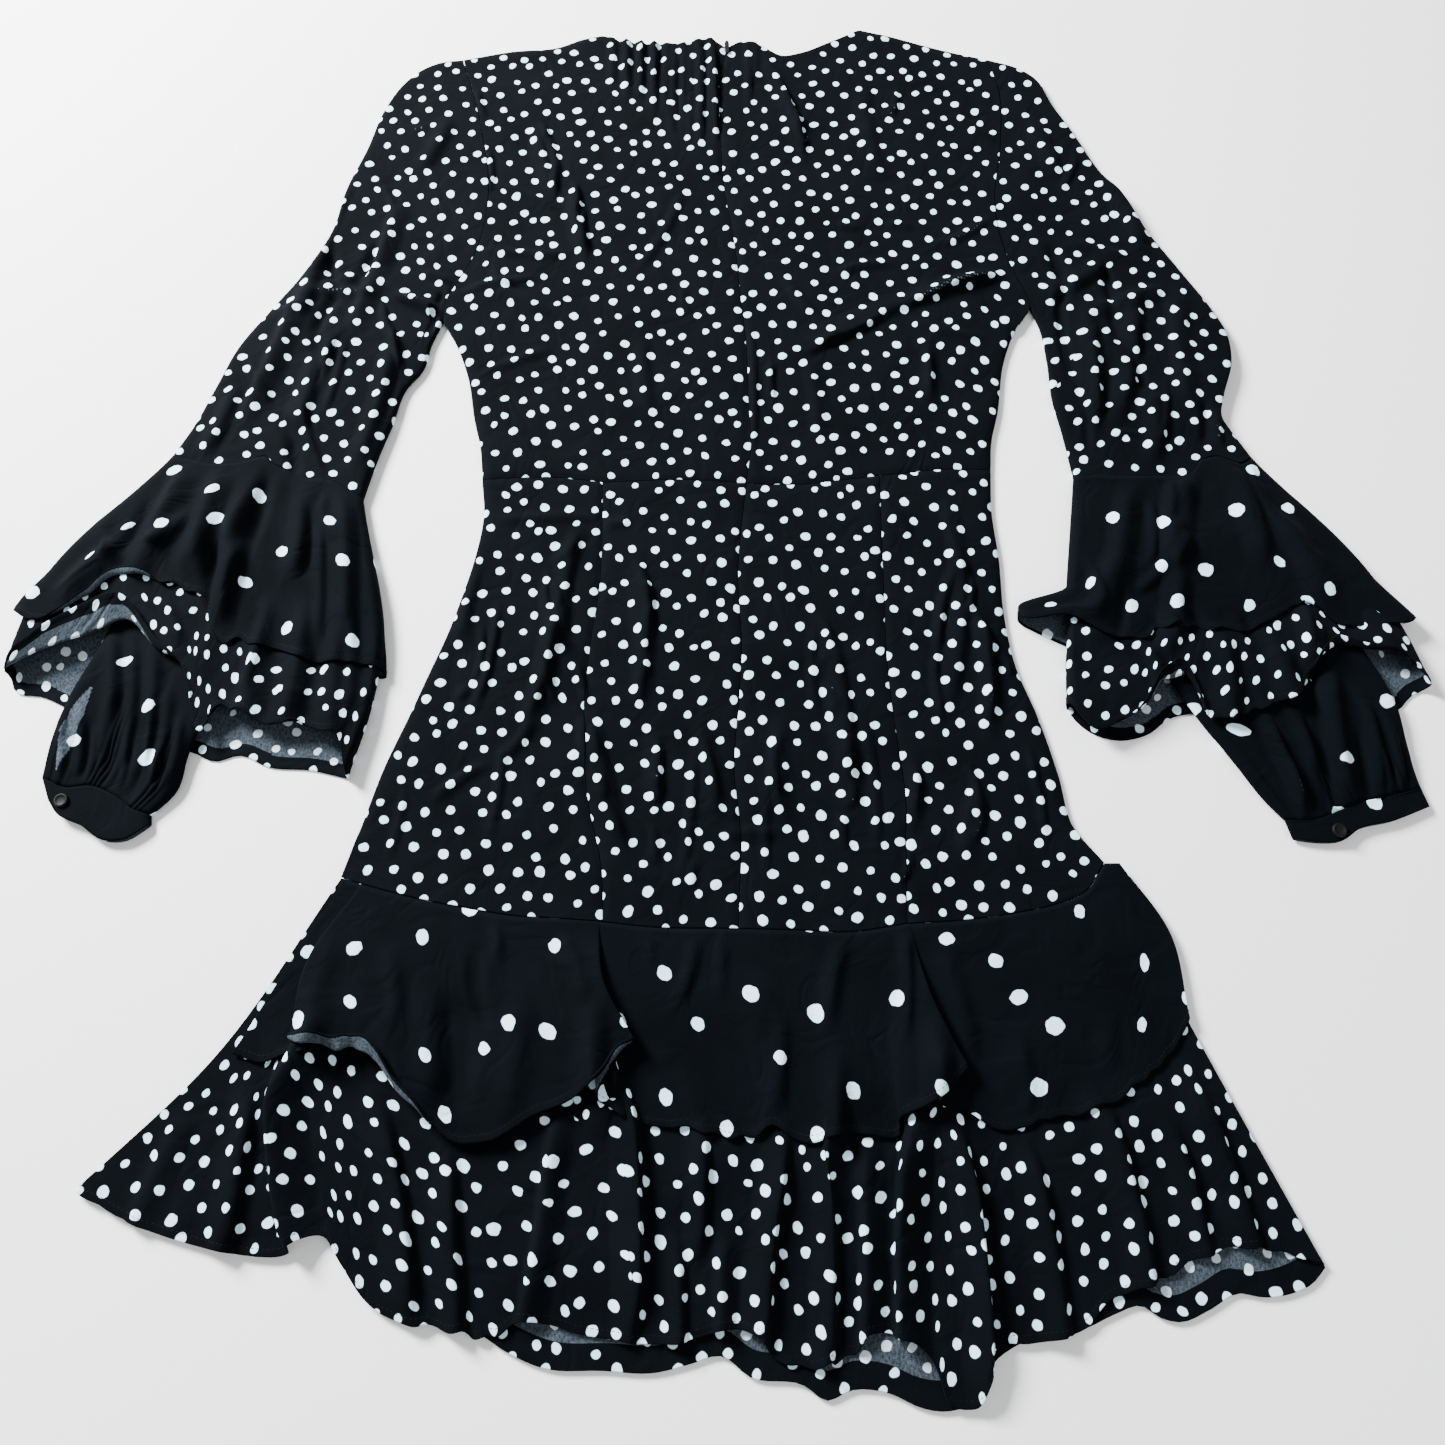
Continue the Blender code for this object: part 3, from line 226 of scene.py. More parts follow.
# The crepe's relief in millimetres. Its real threads are about 0.25 apart, and these are drawn
# as coarse as the render can show. Rumples are the soft creases between the modelled ones.
THREAD = 0.9
THREAD_HEIGHT = 0.25
CRINKLE = 2.2
RUMPLE = 34.0
RUMPLE_WIDTH = 0.16
RUMPLE_HEIGHT = 2.4
CREPE_DEPTH = 0.4
CLOUDING = 45.0

# The scale at which a wave texture has one band in each unit of length
ONE_BAND = 0.314

# Lights: name, place in metres, side in metres, watts
LIGHTS = [("key", (-1.5, 1.2, 1.15), 0.7, 300.0), ("fill", (1.3, -0.9, 1.9), 1.8, 22.0)]
LIGHT_AIM = Vector((0, -0.05, 0))
STUDIO_GLOW = 0.55
FLOOR_HALF = 4.0
FLOOR_LEVEL = -0.2

# The photographer's view: the camera leans 20 degrees from straight down
VIEW_TILT = math.radians(20)
VIEW_LENS = 28.787
VIEW_AIM = Vector((-1.5, -107.5, 0.0)) * MM
VIEW_DISTANCE = 739.5 * MM

# Which pieces have a stitched hem
HEMS = ("upper_flounce_back", "lower_flounce_back", "upper_flounce_front", "lower_flounce_front",
        "ruffle_upper_left", "ruffle_upper_right", "ruffle_lower_left", "ruffle_lower_right")

# Cuff buttons: plan places, sizes, and the section from the middle of the base round to the top
BUTTON_PLACES = {"left": (-411, -161), "right": (377, -180)}
BUTTON_RADIUS = 4.5
BUTTON_DEPTH = 2.2
BUTTON_SIDES = 40
BUTTON_PROFILE = [(0.0, 0.0), (0.8, 0.0), (0.97, 0.18), (1.0, 0.4), (0.97, 0.68), (0.9, 0.92),
                  (0.8, 1.0), (0.7, 0.97), (0.6, 0.8), (0.3, 0.72), (0.0, 0.7)]

# The zip's slider and its pull tab: plan outlines, depths, and levels of a bevelled edge
SLIDER_BODY = [(-1.8, 0.0), (-1.9, 2.6), (-1.2, 5.4), (-0.5, 6.0), (0.5, 6.0), (1.2, 5.4),
               (1.9, 2.6), (1.8, 0.0), (0.9, -0.7), (-0.9, -0.7)]
SLIDER_TAB = [(-0.8, 1.0), (-1.3, -3.2), (-1.7, -6.4), (-1.3, -7.8), (0.0, -8.4), (1.3, -7.8),
              (1.7, -6.4), (1.3, -3.2), (0.8, 1.0), (0.0, 1.5)]
SLIDER_DEPTH = 2.3
SLIDER_ABOVE = 1.2
TAB_DEPTH = 0.9
TAB_RAISED = 2.4
BEVELLED_LEVELS = ((0.0, 0.85), (0.18, 1.0), (0.82, 1.0), (1.0, 0.85))

# Edges of the body, rows of x, y
SHOULDER_LEFT = [(-210, 459), (-173, 468), (-133, 473), (-116, 481), (-101, 485)]
NECK_LEFT = [(-101, 485), (-89, 479), (-68, 475), (-36, 474), (-10, 478), (2, 470)]
NECK_RIGHT = [(2, 470), (14, 477), (30, 472), (47, 462), (61, 465), (86, 477), (112, 491)]
SHOULDER_RIGHT = [(112, 491), (139, 483), (166, 473), (212, 459)]
ARMHOLE_LEFT = [(-210, 459), (-197, 415), (-188, 377), (-180, 325), (-181, 291), (-187, 260),
                (-197, 236), (-204, 220), (-205, 202)]
ARMHOLE_RIGHT = [(212, 459), (218, 417), (214, 365), (206, 316), (206, 288), (210, 262),
                 (216, 241), (221, 228), (224, 214)]
BODICE_SIDE_LEFT = [(-205, 202), (-192, 178), (-183, 153), (-176, 118), (-170, 94), (-167, 69)]
BODICE_SIDE_RIGHT = [(224, 214), (210, 192), (200, 165), (193, 126), (186, 98), (184, 77)]
CENTRE_BACK = [(2, 470), (-5, 425), (-3, 383), (0, 325), (7, 278), (12, 222), (16, 178),
               (17, 135), (18, 91), (15, 66)]
CENTRE_SKIRT = [(15, 66), (9, 0), (11, -63), (9, -95), (6, -140), (10, -184), (9, -218), (8, -240)]
WAIST_LEFT_SIDE = [(-167, 69), (-122, 71), (-84, 67)]
WAIST_LEFT_CENTRE = [(-84, 67), (-26, 69), (15, 66)]
WAIST_RIGHT_CENTRE = [(15, 66), (51, 65), (83, 69), (107, 72)]
WAIST_RIGHT_SIDE = [(107, 72), (118, 73), (148, 77), (184, 77)]
SKIRT_SIDE_LEFT = [(-167, 69), (-164, 42), (-167, 13), (-174, -19), (-181, -45), (-191, -74),
                   (-202, -106), (-214, -139), (-224, -176), (-233, -209)]
SKIRT_SIDE_RIGHT = [(184, 77), (182, 46), (184, 8), (184, -33), (189, -72), (199, -103),
                    (209, -144), (215, -178), (231, -200)]
GORE_LEFT = [(-84, 67), (-83, 38), (-83, -7), (-88, -59), (-90, -104), (-85, -160),
             (-75, -204), (-73, -236)]
GORE_RIGHT = [(107, 72), (106, 4), (106, -82), (109, -118), (112, -153), (111, -189), (109, -237)]
SEAM_LEFT_SIDE = [(-233, -209), (-209, -216), (-185, -222), (-153, -228), (-129, -232),
                  (-99, -234), (-73, -236)]
SEAM_LEFT_CENTRE = [(-73, -236), (-45, -239), (8, -240)]
SEAM_RIGHT_CENTRE = [(8, -240), (44, -241), (75, -242), (109, -237)]
SEAM_RIGHT_SIDE = [(109, -237), (143, -235), (172, -231), (197, -226), (217, -218), (231, -200)]

# Ribs of the back flounces: seam x, upper hem x, y, lower hem x, y
FLOUNCE_RIBS = [
    (-233, -295, -314, -363, -385), (-226, -278, -321, -321, -404),
    (-218, -263, -320, -281, -415), (-211, -254, -314, -246, -419),
    (-203, -244, -307, -232, -413), (-197, -235, -309, -221, -407),
    (-190, -227, -303, -209, -422), (-181, -214, -301, -195, -440),
    (-172, -203, -307, -182, -449), (-163, -190, -320, -167, -452),
    (-153, -176, -340, -152, -454), (-141, -158, -354, -137, -457),
    (-131, -145, -358, -125, -458), (-117, -123, -354, -107, -450),
    (-106, -107, -346, -94, -452), (-95, -92, -339, -80, -456),
    (-85, -78, -332, -68, -458), (-78, -70, -322, -60, -459),
    (-75, -66, -319, -55, -460), (-71, -61, -329, -51, -461),
    (-65, -56, -345, -45, -461), (-48, -38, -352, -30, -461),
    (-27, -20, -354, -15, -458), (-7, -2, -356, 2, -454),
    (10, 13, -358, 12, -456), (22, 24, -356, 23, -465),
    (34, 34, -354, 34, -471), (45, 43, -360, 44, -472),
    (59, 56, -359, 55, -470), (73, 70, -358, 66, -467),
    (87, 84, -360, 76, -460), (97, 97, -355, 85, -455),
    (103, 105, -348, 95, -457), (108, 112, -340, 105, -461),
    (112, 118, -334, 112, -474), (115, 123, -332, 118, -490),
    (120, 128, -335, 130, -491), (126, 136, -341, 136, -477),
    (133, 144, -348, 146, -462), (142, 155, -353, 162, -461),
    (153, 167, -355, 179, -458), (164, 182, -351, 194, -453),
    (176, 197, -347, 206, -441), (187, 214, -340, 224, -434),
    (199, 228, -333, 245, -426), (210, 243, -323, 267, -416),
    (221, 258, -308, 296, -415), (231, 269, -291, 327, -423)]

# Sides and hems of the front flounces, rows of x, y
FRONT_FLOUNCE_SIDES = ([SEAM_LEFT_SIDE[0], (-262, -262), (-294, -314)],
                       [SEAM_RIGHT_SIDE[-1], (252, -246), (269, -291)])
FRONT_UPPER_HEM = [(-290, -313), (-244, -326), (-174, -343), (-94, -346), (8, -348), (99, -346),
                   (173, -343), (227, -326), (264, -291)]
FRONT_LOWER_HEM = [
    (-360, -384), (-317, -402), (-260, -412), (-234, -408), (-222, -404), (-205, -419),
    (-183, -446), (-153, -450), (-131, -457), (-117, -465), (-96, -473), (-66, -474), (-37, -475),
    (-19, -471), (-2, -467), (13, -477), (42, -481), (53, -488), (67, -483), (88, -485),
    (102, -491), (115, -493), (133, -487), (141, -472), (163, -459), (193, -454), (210, -447),
    (225, -443), (234, -449), (244, -451), (261, -445), (278, -437), (290, -439), (307, -437),
    (319, -432), (327, -424)]

# Sleeve edges, rows of x, y
SLEEVE_OUTER_LEFT = [(-210, 459), (-229, 456), (-243, 448), (-257, 431), (-268, 406), (-277, 367),
                     (-289, 325), (-295, 285), (-310, 249), (-331, 213), (-351, 178),
                     (-362, 143), (-373, 110), (-383, 88)]
SLEEVE_INNER_LEFT = [(-205, 202), (-212, 182), (-216, 160), (-227, 142), (-233, 114), (-240, 87),
                     (-247, 53)]
SLEEVE_OUTER_RIGHT = [(212, 459), (233, 451), (247, 440), (259, 411), (271, 385), (288, 345),
                      (301, 320), (318, 285), (338, 248), (356, 213), (364, 192), (364, 169),
                      (353, 135), (350, 122), (356, 105), (365, 87)]
SLEEVE_INNER_RIGHT = [(224, 214), (230, 194), (232, 165), (232, 135), (236, 106), (240, 70)]

# Ribs of the sleeve ruffles, left to right: seam x, y, upper hem x, y, lower hem x, y
RUFFLE_RIBS_LEFT = [
    (-383, 88, -461, -34, -464, -75), (-376, 85, -451, -41, -460, -73),
    (-366, 83, -435, -34, -443, -63), (-355, 80, -417, -21, -416, -52),
    (-344, 80, -397, -7, -388, -42), (-335, 81, -373, -13, -368, -59),
    (-328, 83, -355, -18, -349, -73), (-323, 85, -341, -27, -342, -88),
    (-318, 86, -333, -45, -337, -106), (-311, 80, -326, -57, -329, -118),
    (-303, 76, -316, -54, -325, -104), (-293, 70, -306, -58, -311, -102),
    (-285, 68, -287, -62, -297, -108), (-277, 68, -274, -68, -286, -114),
    (-268, 66, -259, -71, -272, -111), (-260, 62, -244, -71, -254, -118),
    (-254, 58, -231, -72, -243, -120), (-247, 53, -221, -73, -235, -146)]
RUFFLE_RIBS_RIGHT = [
    (240, 70, 223, -40, 218, -97), (247, 70, 229, -49, 225, -108),
    (255, 71, 240, -53, 233, -116), (265, 70, 258, -54, 246, -112),
    (275, 70, 273, -52, 261, -104), (284, 70, 280, -47, 270, -95),
    (294, 70, 289, -45, 280, -84), (303, 70, 298, -45, 291, -80),
    (312, 70, 308, -46, 298, -87), (318, 71, 319, -47, 305, -108),
    (324, 76, 330, -48, 321, -107), (329, 83, 342, -47, 342, -101),
    (335, 85, 357, -40, 363, -93), (341, 86, 369, -33, 374, -79),
    (346, 84, 380, -29, 385, -66), (351, 82, 389, -33, 398, -58),
    (356, 80, 398, -41, 413, -61), (360, 82, 411, -37, 430, -64),
    (363, 84, 426, -32, 443, -72), (365, 87, 438, -25, 453, -85)]

# Hems of the ruffles' undersides, rows of x, y
UNDER_UPPER_LEFT = [(-461, -34), (-430, -50), (-382, -61), (-336, -65), (-289, -70), (-250, -72),
                    (-221, -73)]
UNDER_LOWER_LEFT = [(-464, -75), (-458, -87), (-441, -90), (-417, -101), (-388, -116),
                    (-361, -125), (-337, -128), (-322, -134), (-307, -130), (-287, -138),
                    (-261, -140), (-235, -146)]
UNDER_UPPER_RIGHT = [(223, -40), (240, -50), (279, -54), (325, -52), (372, -42), (414, -30),
                     (438, -25)]
UNDER_LOWER_RIGHT = [(218, -97), (225, -108), (235, -116), (250, -120), (269, -116), (285, -105),
                     (305, -101), (337, -101), (369, -97), (400, -87), (423, -86), (431, -100),
                     (443, -90), (453, -85)]

# Inner balloon sleeves and cuffs, rows of x, y, each from left to right or from top to bottom
BALLOON_TOP_LEFT = [(-370, 76), (-335, 72), (-300, 62), (-260, 55)]
BALLOON_OUTER_LEFT = [(-370, 76), (-387, 18), (-405, -52), (-420, -94), (-427, -127), (-428, -145)]
BALLOON_INNER_LEFT = [(-260, 55), (-270, -15), (-299, -73), (-331, -111), (-337, -131),
                      (-341, -154), (-355, -170)]
CUFF_TOP_LEFT = [(-428, -145), (-411, -152), (-396, -151), (-380, -157), (-368, -165),
                 (-355, -170)]
CUFF_END_LEFT = [(-422, -158), (-412, -170), (-398, -176), (-381, -186), (-370, -186),
                 (-354, -176)]
BALLOON_TOP_RIGHT = [(252, 62), (290, 62), (325, 68), (354, 76)]
BALLOON_INNER_RIGHT = [(252, 62), (258, 7), (277, -59), (302, -110), (321, -139), (335, -160),
                       (346, -173)]
BALLOON_OUTER_RIGHT = [(354, 76), (386, 7), (412, -52), (429, -99), (431, -122), (433, -141),
                       (435, -152)]
CUFF_TOP_RIGHT = [(346, -173), (363, -173), (378, -168), (393, -162), (412, -158), (435, -152)]
CUFF_END_RIGHT = [(349, -185), (364, -187), (379, -186), (390, -179), (414, -173), (438, -164)]

# Folds: start x, y, end x, y, bend, half width, height, lean to the left of start to end
BODY_FOLDS = [
    (-94, 40, -103, -70, -10, 9, 2.6, 1.5), (-110, -20, -128, -125, 3, 10, 2.4, -1.5),
    (-61, 20, -55, -110, 4, 9, 2.2, 1.0), (-88, -95, -58, -205, -4, 10, 2.6, 2.0),
    (-20, -100, -5, -180, 3, 9, 2.0, 1.0), (60, -20, 76, -185, 6, 10, 2.8, 2.0),
    (38, -100, 40, -185, -5, 9, 2.0, -1.0), (157, 20, 135, -115, 6, 10, 2.6, 1.5),
    (162, -15, 166, -130, 5, 9, 2.2, 1.0), (161, -145, 148, -205, -3, 9, 2.0, -1.0),
    (118, -125, 113, -185, 2, 8, 1.8, 1.0), (-166, 10, -172, -60, -3, 9, 2.0, 1.0),
    (-45, -110, -47, -175, 2, 8, 1.6, 1.0), (150, 60, 156, -20, 3, 9, 1.8, -1.0),
    (219, 250, 45, 172, -8, 11, 2.8, 2.0), (145, 195, 142, 120, 2, 9, 1.6, 1.0),
    (-147, 400, -126, 310, -5, 9, 2.2, 1.5), (-118, 338, -101, 245, -3, 9, 2.0, 1.0),
    (-190, 235, -120, 200, 4, 10, 2.2, 1.0), (-60, 200, -52, 110, -3, 9, 1.8, 1.0),
    (60, 170, 66, 95, 3, 9, 1.6, -1.0), (28, 468, 62, 345, 4, 8, 2.2, 1.5),
    (110, 440, 120, 330, -4, 10, 1.8, 1.0)]

# Gathers at the back neck: x, length, height. They begin above the neck edge by a share of
# their length, and slant and lean a little.
NECK_GATHERS = [(-92, 60, 1.5), (-80, 75, 1.9), (-69, 70, 1.6), (-58, 95, 2.0), (-46, 90, 1.8),
                (-35, 110, 2.1), (-24, 125, 2.0), (-13, 115, 2.0), (22, 50, 1.4)]
GATHER_HALF_WIDTH = 5.0
GATHER_TOP = 482
GATHER_RISE = 0.3
GATHER_SLANT = 2
GATHER_LEAN = 0.6

# Folds of the flounces, ruffles and sleeves, with the same columns
FLOUNCE_FOLDS = [
    (-78, -232, -66, -365, -6, 13, 8.5, 9.0), (-66, -300, -55, -480, 6, 11, 6.5, 5.0),
    (107, -232, 120, -350, 5, 12, 8.0, 7.0), (113, -330, 101, -500, -5, 11, 7.5, -6.0),
    (128, -338, 133, -510, 3, 9, 6.5, 5.0), (-43, -228, -37, -320, 2, 8, 4.5, 3.0),
    (-20, -228, -31, -320, -2, 8, 4.5, -3.0), (73, -232, 60, -420, -3, 9, 5.0, -3.5),
    (-93, -330, -112, -480, 5, 10, 4.5, -3.0), (-16, -340, -18, -430, 2, 8, 3.5, 2.0),
    (36, -340, 16, -490, -6, 10, 5.5, 4.0), (54, -345, 48, -500, 3, 9, 4.5, 3.0),
    (-236, -235, -247, -345, 5, 13, 6.5, -5.0), (-250, -300, -216, -440, -9, 12, 7.5, -7.0),
    (-190, -240, -172, -330, 3, 10, 3.5, 2.0), (-132, -245, -140, -345, -3, 11, 3.5, -2.0),
    (163, -240, 163, -340, 3, 11, 3.0, 2.0), (209, -230, 222, -330, 3, 11, 3.5, 2.0),
    (208, -325, 228, -460, 4, 11, 4.5, 3.0), (259, -310, 288, -440, 4, 11, 5.0, 3.5),
    (-305, -330, -330, -420, 3, 11, 4.5, -3.0), (-275, -320, -280, -440, 3, 11, 5.0, 3.0),
    (-207, -325, -170, -470, 5, 12, 5.0, 4.0), (-159, -350, -140, -480, -3, 11, 4.5, 3.0),
    (165, -345, 178, -490, 3, 11, 4.5, 3.0), (81, -345, 76, -490, 2, 9, 4.5, -3.0),
    (-30, -400, -28, -490, 2, 8, 3.5, 2.0), (0, -400, -3, -490, 2, 8, 3.5, -2.0),
    (247, -340, 262, -450, 2, 9, 4.0, 3.0), (-350, -350, -372, -420, 2, 10, 3.5, -2.0)]
RUFFLE_FOLDS_LEFT = [
    (-318, 78, -331, -90, -5, 14, 5.5, -2.5), (-266, 70, -247, -75, 4, 12, 4.5, 2.0),
    (-288, 70, -287, -20, 3, 11, 4.0, 1.0), (-347, 82, -360, -20, 4, 12, 4.0, -1.0),
    (-370, 85, -392, -20, 3, 12, 4.0, -1.0), (-440, -30, -395, 20, 3, 12, 3.5, 1.0),
    (-276, -20, -280, -125, 3, 12, 4.0, 1.0), (-255, -40, -250, -150, 3, 12, 3.5, 1.0),
    (-302, -40, -304, -125, 2, 12, 3.5, -1.0)]
RUFFLE_FOLDS_RIGHT = [
    (321, 82, 299, -10, -4, 14, 5.5, -2.5), (283, 72, 254, -45, -4, 12, 4.0, -1.0),
    (345, 85, 357, -10, 3, 12, 4.0, 1.0), (299, 10, 284, -70, 3, 12, 4.0, 1.0),
    (372, 45, 393, -40, 3, 12, 4.0, 1.0), (262, 10, 239, -60, -4, 12, 3.0, -1.0),
    (321, -40, 315, -125, 2, 12, 4.0, 1.0), (275, -45, 281, -110, 3, 12, 3.5, -1.0),
    (378, -25, 381, -85, 2, 12, 3.5, -1.0), (347, -40, 362, -115, 3, 12, 4.0, 1.0),
    (415, -25, 436, -90, 3, 12, 3.5, 1.0)]
SLEEVE_FOLDS_LEFT = [
    (-196, 205, -262, 250, 4, 11, 2.6, 1.0), (-286, 345, -308, 180, -6, 11, 3.0, 1.5),
    (-245, 325, -273, 180, 5, 10, 2.6, -1.5), (-277, 205, -304, 85, -4, 11, 3.0, 1.5),
    (-310, 235, -341, 100, 5, 11, 3.0, -1.5), (-238, 195, -258, 65, 3, 10, 2.6, 1.0),
    (-215, 400, -238, 340, 3, 10, 2.0, 1.0), (-345, 150, -365, 80, 2, 10, 2.4, 1.0)]
SLEEVE_FOLDS_RIGHT = [
    (228, 222, 290, 262, -4, 11, 2.6, -1.0), (300, 240, 268, 100, 5, 11, 3.0, 1.5),
    (335, 240, 330, 120, -4, 11, 2.6, -1.5), (262, 225, 252, 90, 4, 11, 3.0, 1.5),
    (256, 208, 330, 232, -3, 10, 2.2, 1.0), (288, 345, 312, 250, 4, 11, 2.4, 1.0),
    (235, 400, 255, 330, 3, 10, 2.0, 1.0), (302, 150, 294, 75, 2, 10, 2.6, 1.0)]

# Narrow creases that the back shows besides those of the solids, with the folds' columns
FINE_CREASES = [
    (212, 246, 128, 214, -6, 6, 2.2, 1), (120, 212, 52, 180, 5, 6, 1.8, 1),
    (144, 180, 142, 134, 2, 4, 1.6, 0.5), (104, 288, 82, 290, 1, 6, 1.4, 0.3),
    (-146, 390, -128, 322, 5, 5, 2, 1), (-116, 328, -102, 256, -4, 5, 2, 1),
    (-100, 28, -118, 2, 3, 6, 1.4, 0.5), (-118, 2, -102, -64, -7, 5, 2, 1),
    (-112, -28, -126, -112, 5, 5, 2, 1), (-60, 10, -50, -64, 4, 5, 2, 0.8),
    (-50, -64, -54, -100, -3, 4, 1.6, 0.5), (-44, -118, -46, -160, 2, 4, 1.8, 0.5),
    (-88, -108, -84, -138, 2, 4, 1.6, 0.5), (-84, -138, -60, -190, -5, 6, 1.8, 1),
    (-20, -112, -6, -168, 3, 4, 1.8, 0.5), (-46, -174, -44, -204, 2, 4, 1.6, 0.5),
    (60, -36, 60, -108, -4, 4, 1.6, 0.6), (60, -108, 78, -146, 4, 6, 1.8, 1),
    (38, -112, 38, -170, -7, 4, 1.8, 0.6), (156, 8, 138, -70, -5, 5, 2.4, 1),
    (162, -24, 164, -118, 6, 5, 2.2, 1), (160, -156, 150, -190, 3, 4, 1.6, 0.5),
    (118, -138, 114, -170, 2, 4, 1.4, 0.5), (-4, -182, 38, -182, 1, 6, 1.2, 0.3),
    (-162, 36, -80, 38, 2, 6, 1.4, 0.3), (-178, 330, -120, 296, 4, 6, 1.6, 0.6),
    (-182, 268, -112, 262, -3, 6, 1.6, 0.5), (-196, 226, -132, 240, 3, 6, 1.6, 0.5),
    (205, 300, 150, 268, 4, 6, 1.8, 0.6), (214, 240, 150, 232, -4, 6, 1.8, 0.6),
    (196, 186, 130, 205, 3, 6, 1.4, 0.5), (-178, 150, -120, 178, 3, 6, 1.4, 0.4),
    (-150, -20, -163, -110, 4, 5, 1.8, 0.8), (-140, -120, -146, -190, 2, 5, 1.6, 0.6),
    (-20, -120, -28, -215, 3, 4, 1.6, 0.6), (30, -130, 26, -215, -3, 4, 1.6, 0.6),
    (-81, 494, -81, 425, 1, 3.5, 1.5, 1), (-68, 494, -67, 414, -1, 3.5, 1.7, 1),
    (-58, 494, -59, 404, 1, 3.5, 1.6, 1), (-49, 494, -49, 388, 1, 3.5, 1.8, 1),
    (-39, 494, -39, 373, -1, 3.5, 1.8, 1), (-29, 494, -28, 363, 1, 3.5, 1.8, 1),
    (-20, 494, -19, 353, 1, 3.5, 1.8, 1), (-10, 480, -7, 363, 1, 4, 2.6, 1.5),
    (17, 490, 19, 404, 1, 3.5, 1.8, 1), (40, 440, 62, 346, 3, 4, 1.8, 1),
    (60, -35, 66, -59, 3, 4, 1.4, 0.6), (66, -59, 61, -82, -3, 4, 1.4, 0.6),
    (61, -82, 66, -108, 4, 4, 2, 0.6), (155, 14, 164, -4, -2, 6, 1.4, 0.6),
    (164, -4, 156, -35, 3, 4, 1.6, 0.6), (138, -56, 138, -111, -3, 4, 2, 1),
    (-120, -4, -112, -35, 4, 4, 1.8, 0.6), (-113, -72, -108, -98, -2, 4, 1.6, 0.6),
    (-57, -11, -49, -23, 3, 6, 1.4, 0.6), (-49, -23, -52, -67, -3, 4, 1.8, 1),
    (-161, -39, -163, -85, 4, 4, 1.6, 1), (-163, -85, -171, -95, -2, 6, 1.4, 0.6),
    (-99, -66, -90, -101, 3, 4, 1.8, 0.6), (-90, -101, -85, -143, -3, 4, 1.6, 1),
    (-85, -143, -79, -164, 4, 4, 1.4, 0.6), (74, -121, 77, -149, -2, 4, 1.8, 0.6),
    (77, -149, 74, -167, 3, 4, 1.4, 0.6), (74, -167, 75, -194, -3, 4, 2, 0.6),
    (151, -136, 155, -173, 4, 4, 1.8, 0.6), (35, -143, 34, -156, -2, 4, 1.4, 0.6),
    (-184, -164, -145, -136, 3, 6, 1.8, 1), (-145, -136, -120, -105, -3, 6, 1.8, 0.6),
    (-48, -143, -45, -165, 4, 4, 1.4, 0.6), (-18, -197, -19, -217, -2, 4, 1.4, 0.6),
    (112, -188, 105, -214, 3, 4, 1.8, 0.6), (167, -39, 178, -62, -3, 6, 1.6, 0.6),
    (178, -62, 182, -79, 4, 4, 1.4, 0.6), (-83, 35, -61, 38, -2, 6, 1.4, 0.6),
    (17, 211, 18, 75, 3, 4, 1.6, 1), (35, 171, 35, 128, -3, 4, 2, 1),
    (78, 242, 130, 253, 4, 6, 1.8, 1), (-131, 352, -128, 314, -2, 4, 1.6, 0.6),
    (-117, 333, -113, 296, 3, 4, 2, 0.6), (-107, 314, -102, 260, -3, 4, 1.8, 1),
    (-146, 391, -143, 371, 4, 4, 1.4, 0.6), (-196, 427, -187, 395, -2, 4, 2, 0.6),
    (-186, 371, -180, 318, 3, 4, 1.8, 1), (-29, 232, -26, 208, -3, 4, 1.4, 0.6),
    (134, 427, 128, 395, 4, 4, 2, 0.6), (180, 402, 213, 371, -2, 6, 1.8, 1),
    (120, 289, 143, 285, 3, 6, 1.4, 0.6), (56, 406, 62, 379, -3, 4, 2, 0.6),
    (62, 379, 57, 367, 4, 4, 1.4, 0.6), (-43, 418, -40, 379, -2, 4, 1.6, 0.6),
    (-211, 246, -196, 235, 3, 6, 1.4, 0.6), (-174, 249, -153, 232, -3, 6, 1.8, 0.6),
    (79, 191, 54, 174, 4, 6, 1.6, 0.6),
    (88, -100, 92, -200, 3, 4, 1.6, 0.6), (190, -120, 196, -190, 2, 4, 1.6, 0.6),
    (-200, -150, -206, -200, 2, 4, 1.4, 0.5), (-30, 330, -70, 240, 5, 6, 1.4, 0.5),
    (40, 250, 90, 180, -5, 6, 1.4, 0.5), (100, 60, 128, 20, 2, 6, 1.4, 0.5)]

